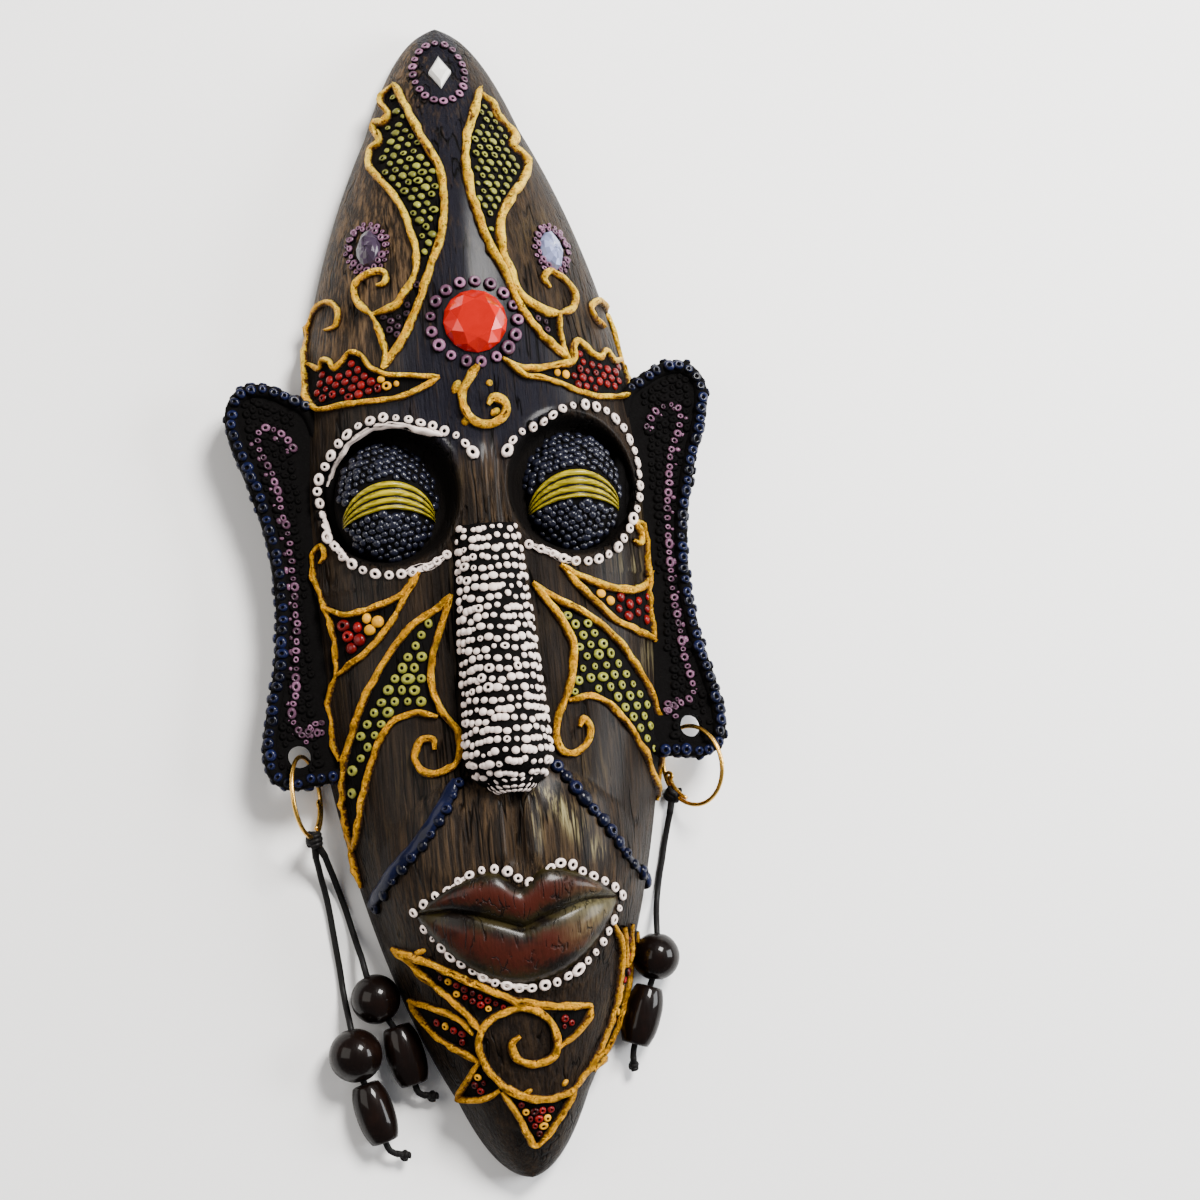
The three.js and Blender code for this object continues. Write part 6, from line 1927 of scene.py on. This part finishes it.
class MASK_OT_hoops(bpy.types.Operator):
    """Build the wire hoops and the knots tied on them"""

    bl_idname = "mask.hoops"
    bl_label = "Hoops"

    def execute(self, context):
        colours = context.scene.mask_colours
        wire = self.wire_metal(colours)
        cord_look = cord_fibre(colours, "knot_cord")
        for name, hoop in HOOPS.items():
            centre, down, out = hoop_frame(**hoop)
            ring = Parts()
            turn = full_turn(96)
            circle = centre + HOOP_RADIUS * (np.outer(np.cos(turn), down) + np.outer(np.sin(turn), out))
            tube(ring, circle, WIRE_RADIUS, 12, closed=True)
            self.clasp(ring, centre, down, out)
            ring.made(f"hoop_{name}", wire, "gold_wire", replaces=(f"ear_hoop_{name}",))
            turn = -math.radians(KNOT_TURNS[name])
            outward = down * math.cos(turn) + out * math.sin(turn)
            place = centre + (HOOP_RADIUS + KNOT_OUTSIDE) * outward
            knot = Parts()
            knot_ball(knot, place, outward, 1.35, 3, 0.46)
            for route_name, route in ROUTES.items():
                if route_name.startswith(name):
                    start, after = np.array(route[0], float), np.array(route[1], float)
                    lap = start + (after - start) * 0.15
                    tube(knot, np.linspace(place, lap, 6), CORD_DIAMETER / 2 + 0.06)
            knot.made(f"knot_{name}", cord_look, "waxed_cord", replaces=(f"hoop_knot_{name}",))
        return {"FINISHED"}

    def clasp(self, ring, centre, down, out):
        """The hoop's lapped ends, one bent into a small eye."""
        turn = np.radians(np.linspace(-70, -18, 14))
        lap = centre + (HOOP_RADIUS - 0.75) * (np.outer(np.cos(turn), down) + np.outer(np.sin(turn), out))
        tube(ring, lap, WIRE_RADIUS * 0.92, 10)
        eye = lap[0]
        turn = np.radians(np.linspace(0, 300, 16))
        loop = eye + 0.6 * (np.outer(np.cos(turn), down) + np.outer(np.sin(turn), out))
        tube(ring, loop, WIRE_RADIUS * 0.8, 8)

    def wire_metal(self, colours):
        """Drawn gold-coloured wire with fine scratches."""
        paint = Paint("hoop_wire_metal", metallic=1.0)
        scratch = paint.noise(0.25, detail=4.0)
        metal = paint.mix(scratch.between(0.35, 0.75), colours.wire, shaded(colours.wire, 0.6))
        return paint.finished(metal, 0.18 + scratch * 0.2, scratch, 0.03)


def cord_fibre(colours, name):
    """Waxed twisted cord."""
    paint = Paint(name, coat=0.12, coat_roughness=0.35, specular=0.06)
    fibre = paint.noise(0.16, (1.0, 3.0, 1.0), detail=4.0)
    lighter = tuple(value * 2.5 + 0.002 for value in colours.cord)
    black = paint.mix(fibre.between(0.45, 0.8), colours.cord, lighter)
    return paint.finished(black, 0.5 + fibre * 0.3, fibre, 0.12)


class MASK_OT_cords(bpy.types.Operator):
    """Build the cords of the earrings, each from its hoop knot through its beads"""

    bl_idname = "mask.cords"
    bl_label = "Cords"

    def execute(self, context):
        look = cord_fibre(context.scene.mask_colours, "waxed_cord_fibre")
        for name, route in ROUTES.items():
            curve = bpy.data.curves.new(f"string_{name}", "CURVE")
            curve.dimensions = "3D"
            curve.bevel_depth = CORD_DIAMETER / 2 * MM
            curve.bevel_resolution = 4
            curve.use_fill_caps = True
            smooth = through(route, 0.8)
            spline = curve.splines.new("POLY")
            spline.points.add(len(smooth) - 1)
            for point, place in zip(spline.points, smooth):
                point.co = (*(place * MM), 1.0)
            curve.materials.append(look)
            string = bpy.data.objects.new(f"string_{name}", curve)
            context.scene.collection.objects.link(string)
            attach(string, BODY)
            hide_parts(f"cord_{name}")
        return {"FINISHED"}


def turned_bead(profile, centre, toward, sides=48):
    """A bead turned about its bore: points and faces from [radius, place along the bore]."""
    bore = unit(np.array([*toward, 0.0]))
    side = np.cross(bore, [0, 0, 1.0])
    up = np.cross(side, bore)
    turn = full_turn(sides)
    around = np.outer(np.cos(turn), side) + np.outer(np.sin(turn), up)
    points = [np.array(centre) + bore * along + around * radius for radius, along in profile]
    faces = grid_faces(len(profile), sides, looped=True).tolist()
    return np.vstack(points), faces + joining_faces(len(profile), sides)


class MASK_OT_wood_beads(bpy.types.Operator):
    """Build the turned wooden beads and end knots on the cords"""

    bl_idname = "mask.wood_beads"
    bl_label = "Wooden beads"

    def execute(self, context):
        colours = context.scene.mask_colours
        look = self.stained_wood(colours)
        knot_look = cord_fibre(colours, "end_knot_cord")
        for name, bead in ROUND_BEADS.items():
            radius = bead["radius"]
            start = math.asin(BORE_RADIUS / radius)
            angles = np.linspace(start, math.pi - start, 29)
            profile = [(radius * math.sin(a), -radius * math.cos(a)) for a in angles]
            points, faces = turned_bead(profile, bead["centre"], bead["toward"])
            piece(f"ball_bead_{name}", points, faces, look, replaces=(f"round_bead_{name}",))
        half = BARREL["length"] / 2
        angles = np.linspace(-1, 1, 25)
        bulge = BARREL["radius"] - BARREL["end_radius"]
        swell = [(BARREL["end_radius"] + bulge * (1 - abs(a) ** 2.6), a * half * 0.975) for a in angles]
        mouth = [(BARREL["end_radius"] - 0.35, half), (BORE_RADIUS, half - 0.1)]
        profile = [(r, -along) for r, along in mouth[::-1]] + swell + mouth
        for name, bead in BARREL_BEADS.items():
            points, faces = turned_bead(profile, bead["centre"], bead["toward"])
            piece(f"long_bead_{name}", points, faces, look, replaces=(f"barrel_bead_{name}",))
        for name, route in ROUTES.items():
            low, high = box_in_mm(f"end_knot_{name}")
            knot = Parts()
            before, end = np.array(route[-2:])
            knot_ball(knot, (low + high) / 2, end - before, 0.8, 2, 0.34)
            tube(knot, np.linspace(end + (before - end) * 0.3, (low + high) / 2, 5), CORD_DIAMETER / 2 + 0.03)
            knot.made(f"tail_knot_{name}", knot_look, "waxed_cord", replaces=(f"end_knot_{name}",))
        return {"FINISHED"}

    def stained_wood(self, colours):
        """Polished dark wood, browner where the stain is thin."""
        paint = Paint("bead_wood", coat=0.3, coat_roughness=0.08, specular=0.04)
        grain = paint.noise(0.5, (1.0, 6.0, 1.0), detail=5.0)
        patch = paint.noise(4.0)
        warm = shaded(colours.wood, (3.2, 2.4, 1.9))
        shade = (patch.between(0.45, 0.75) * 0.6 + grain * 0.25).clamped()
        return paint.finished(paint.mix(shade, colours.wood, warm), 0.28 + grain * 0.18, grain, 0.06)


# Camera, table and lights.


# Lights: name, place, side and colour. Their power comes from the settings.
LIGHTS = (
    ("key_light", (0.24, 0.34, 0.56), 0.22, (1.0, 0.975, 0.94)),
    ("side_light", (0.56, 0.02, 0.30), 0.30, (0.96, 0.98, 1.0)),
    ("left_light", (-0.5, 0.12, 0.46), 0.5, (1.0, 0.95, 0.88)),
)
LIGHTS_AIM = (0.0, 0.0, 0.01)
LEFT_LIGHT_SHARE = 0.45
TABLE_HALF = 1.5
TABLE_LEVEL = -0.05


def camera_axes():
    """The camera's right, up and back directions."""
    yaw, pitch, roll = (math.radians(angle) for angle in (CAMERA_YAW, CAMERA_PITCH, CAMERA_ROLL))
    back = Vector((-math.sin(yaw) * math.cos(pitch), math.sin(pitch), math.cos(yaw) * math.cos(pitch)))
    back.normalize()
    level = Vector((0, 1, 0)).cross(back).normalized()
    up = back.cross(level)
    right = level * math.cos(roll) + up * math.sin(roll)
    return right, back.cross(right), back


class MASK_OT_camera(bpy.types.Operator):
    """Place the camera over the lying mask"""

    bl_idname = "mask.camera"
    bl_label = "Camera"

    def execute(self, context):
        data = bpy.data.cameras.new("photo_camera")
        data.sensor_width = SENSOR_WIDTH
        data.lens = context.scene.mask_studio.lens
        data.clip_start = 0.01
        camera = bpy.data.objects.new("photo_camera", data)
        axes = Matrix(camera_axes()).transposed().to_4x4()
        camera.matrix_world = Matrix.Translation(Vector(CAMERA_PLACE) * MM) @ axes
        context.scene.collection.objects.link(camera)
        context.scene.camera = camera
        return {"FINISHED"}


def soft_light(name, place, target, size, power, colour):
    """A square soft light aimed at a point, all in metres."""
    data = bpy.data.lights.new(name, "AREA")
    data.size = size
    data.energy = power
    data.color = colour
    light = bpy.data.objects.new(name, data)
    light.location = place
    light.rotation_euler = (Vector(place) - Vector(target)).to_track_quat("Z", "Y").to_euler()
    bpy.context.scene.collection.objects.link(light)


class MASK_OT_stage(bpy.types.Operator):
    """Lay the pale table top and set the studio lights"""

    bl_idname = "mask.stage"
    bl_label = "Table and lights"

    def execute(self, context):
        studio = context.scene.mask_studio
        mesh = bpy.data.meshes.new("table_top")
        sides = ((-1, -1), (1, -1), (1, 1), (-1, 1))
        corners = [(TABLE_HALF * x, TABLE_HALF * y, TABLE_LEVEL * MM) for x, y in sides]
        mesh.from_pydata(corners, [], [(0, 1, 2, 3)])
        paint = Paint("table_paint", roughness=0.6)
        speck = paint.noise(3.0)
        floor = context.scene.mask_colours.floor
        paint.set("Base Color", paint.mix(speck, floor, shaded(floor, 0.985)))
        mesh.materials.append(paint.material)
        table = bpy.data.objects.new("table_top", mesh)
        context.scene.collection.objects.link(table)
        powers = (studio.key, studio.sheen, studio.sheen * LEFT_LIGHT_SHARE)
        for (name, place, size, colour), power in zip(LIGHTS, powers):
            soft_light(name, place, LIGHTS_AIM, size, power, colour)
        world = bpy.data.worlds.new("studio")
        world.use_nodes = True
        world.node_tree.nodes["Background"].inputs["Color"].default_value = (0.93, 0.95, 1.0, 1.0)
        world.node_tree.nodes["Background"].inputs["Strength"].default_value = studio.fill
        context.scene.world = world
        return {"FINISHED"}


class MASK_PT_build(bpy.types.Panel):
    """Buttons that build each piece of the mask"""

    bl_label = "Carved wall mask"
    bl_idname = "MASK_PT_build"
    bl_space_type = "VIEW_3D"
    bl_region_type = "UI"
    bl_category = "Mask"

    def draw(self, context):
        for operator in OPERATORS:
            self.layout.operator(operator.bl_idname)
        for group in (context.scene.mask_shape, context.scene.mask_colours, context.scene.mask_studio):
            box = self.layout.box()
            for field in group.bl_rna.properties:
                if not field.is_readonly and field.identifier != "name":
                    box.prop(group, field.identifier)


OPERATORS = (
    MASK_OT_camera, MASK_OT_wood_beads, MASK_OT_cords, MASK_OT_hoops, MASK_OT_stage, MASK_OT_face,
    MASK_OT_back, MASK_OT_eyes, MASK_OT_nose, MASK_OT_lips, MASK_OT_ears, MASK_OT_scrolls, MASK_OT_panels,
    MASK_OT_bead_rows, MASK_OT_stones,
)
GROUPS = {"mask_shape": MaskShape, "mask_colours": MaskColours, "mask_studio": StudioSettings}


def register():
    for name, group in GROUPS.items():
        bpy.utils.register_class(group)
        setattr(bpy.types.Scene, name, PointerProperty(type=group))
    for made in (*OPERATORS, MASK_PT_build):
        bpy.utils.register_class(made)


def unregister():
    for made in (MASK_PT_build, *reversed(OPERATORS)):
        bpy.utils.unregister_class(made)
    for name, group in GROUPS.items():
        delattr(bpy.types.Scene, name)
        bpy.utils.unregister_class(group)


def main():
    """Builds every piece in order."""
    register()
    for operator in OPERATORS:
        module, name = operator.bl_idname.split(".")
        getattr(getattr(bpy.ops, module), name)()


if __name__ == "__main__":
    main()
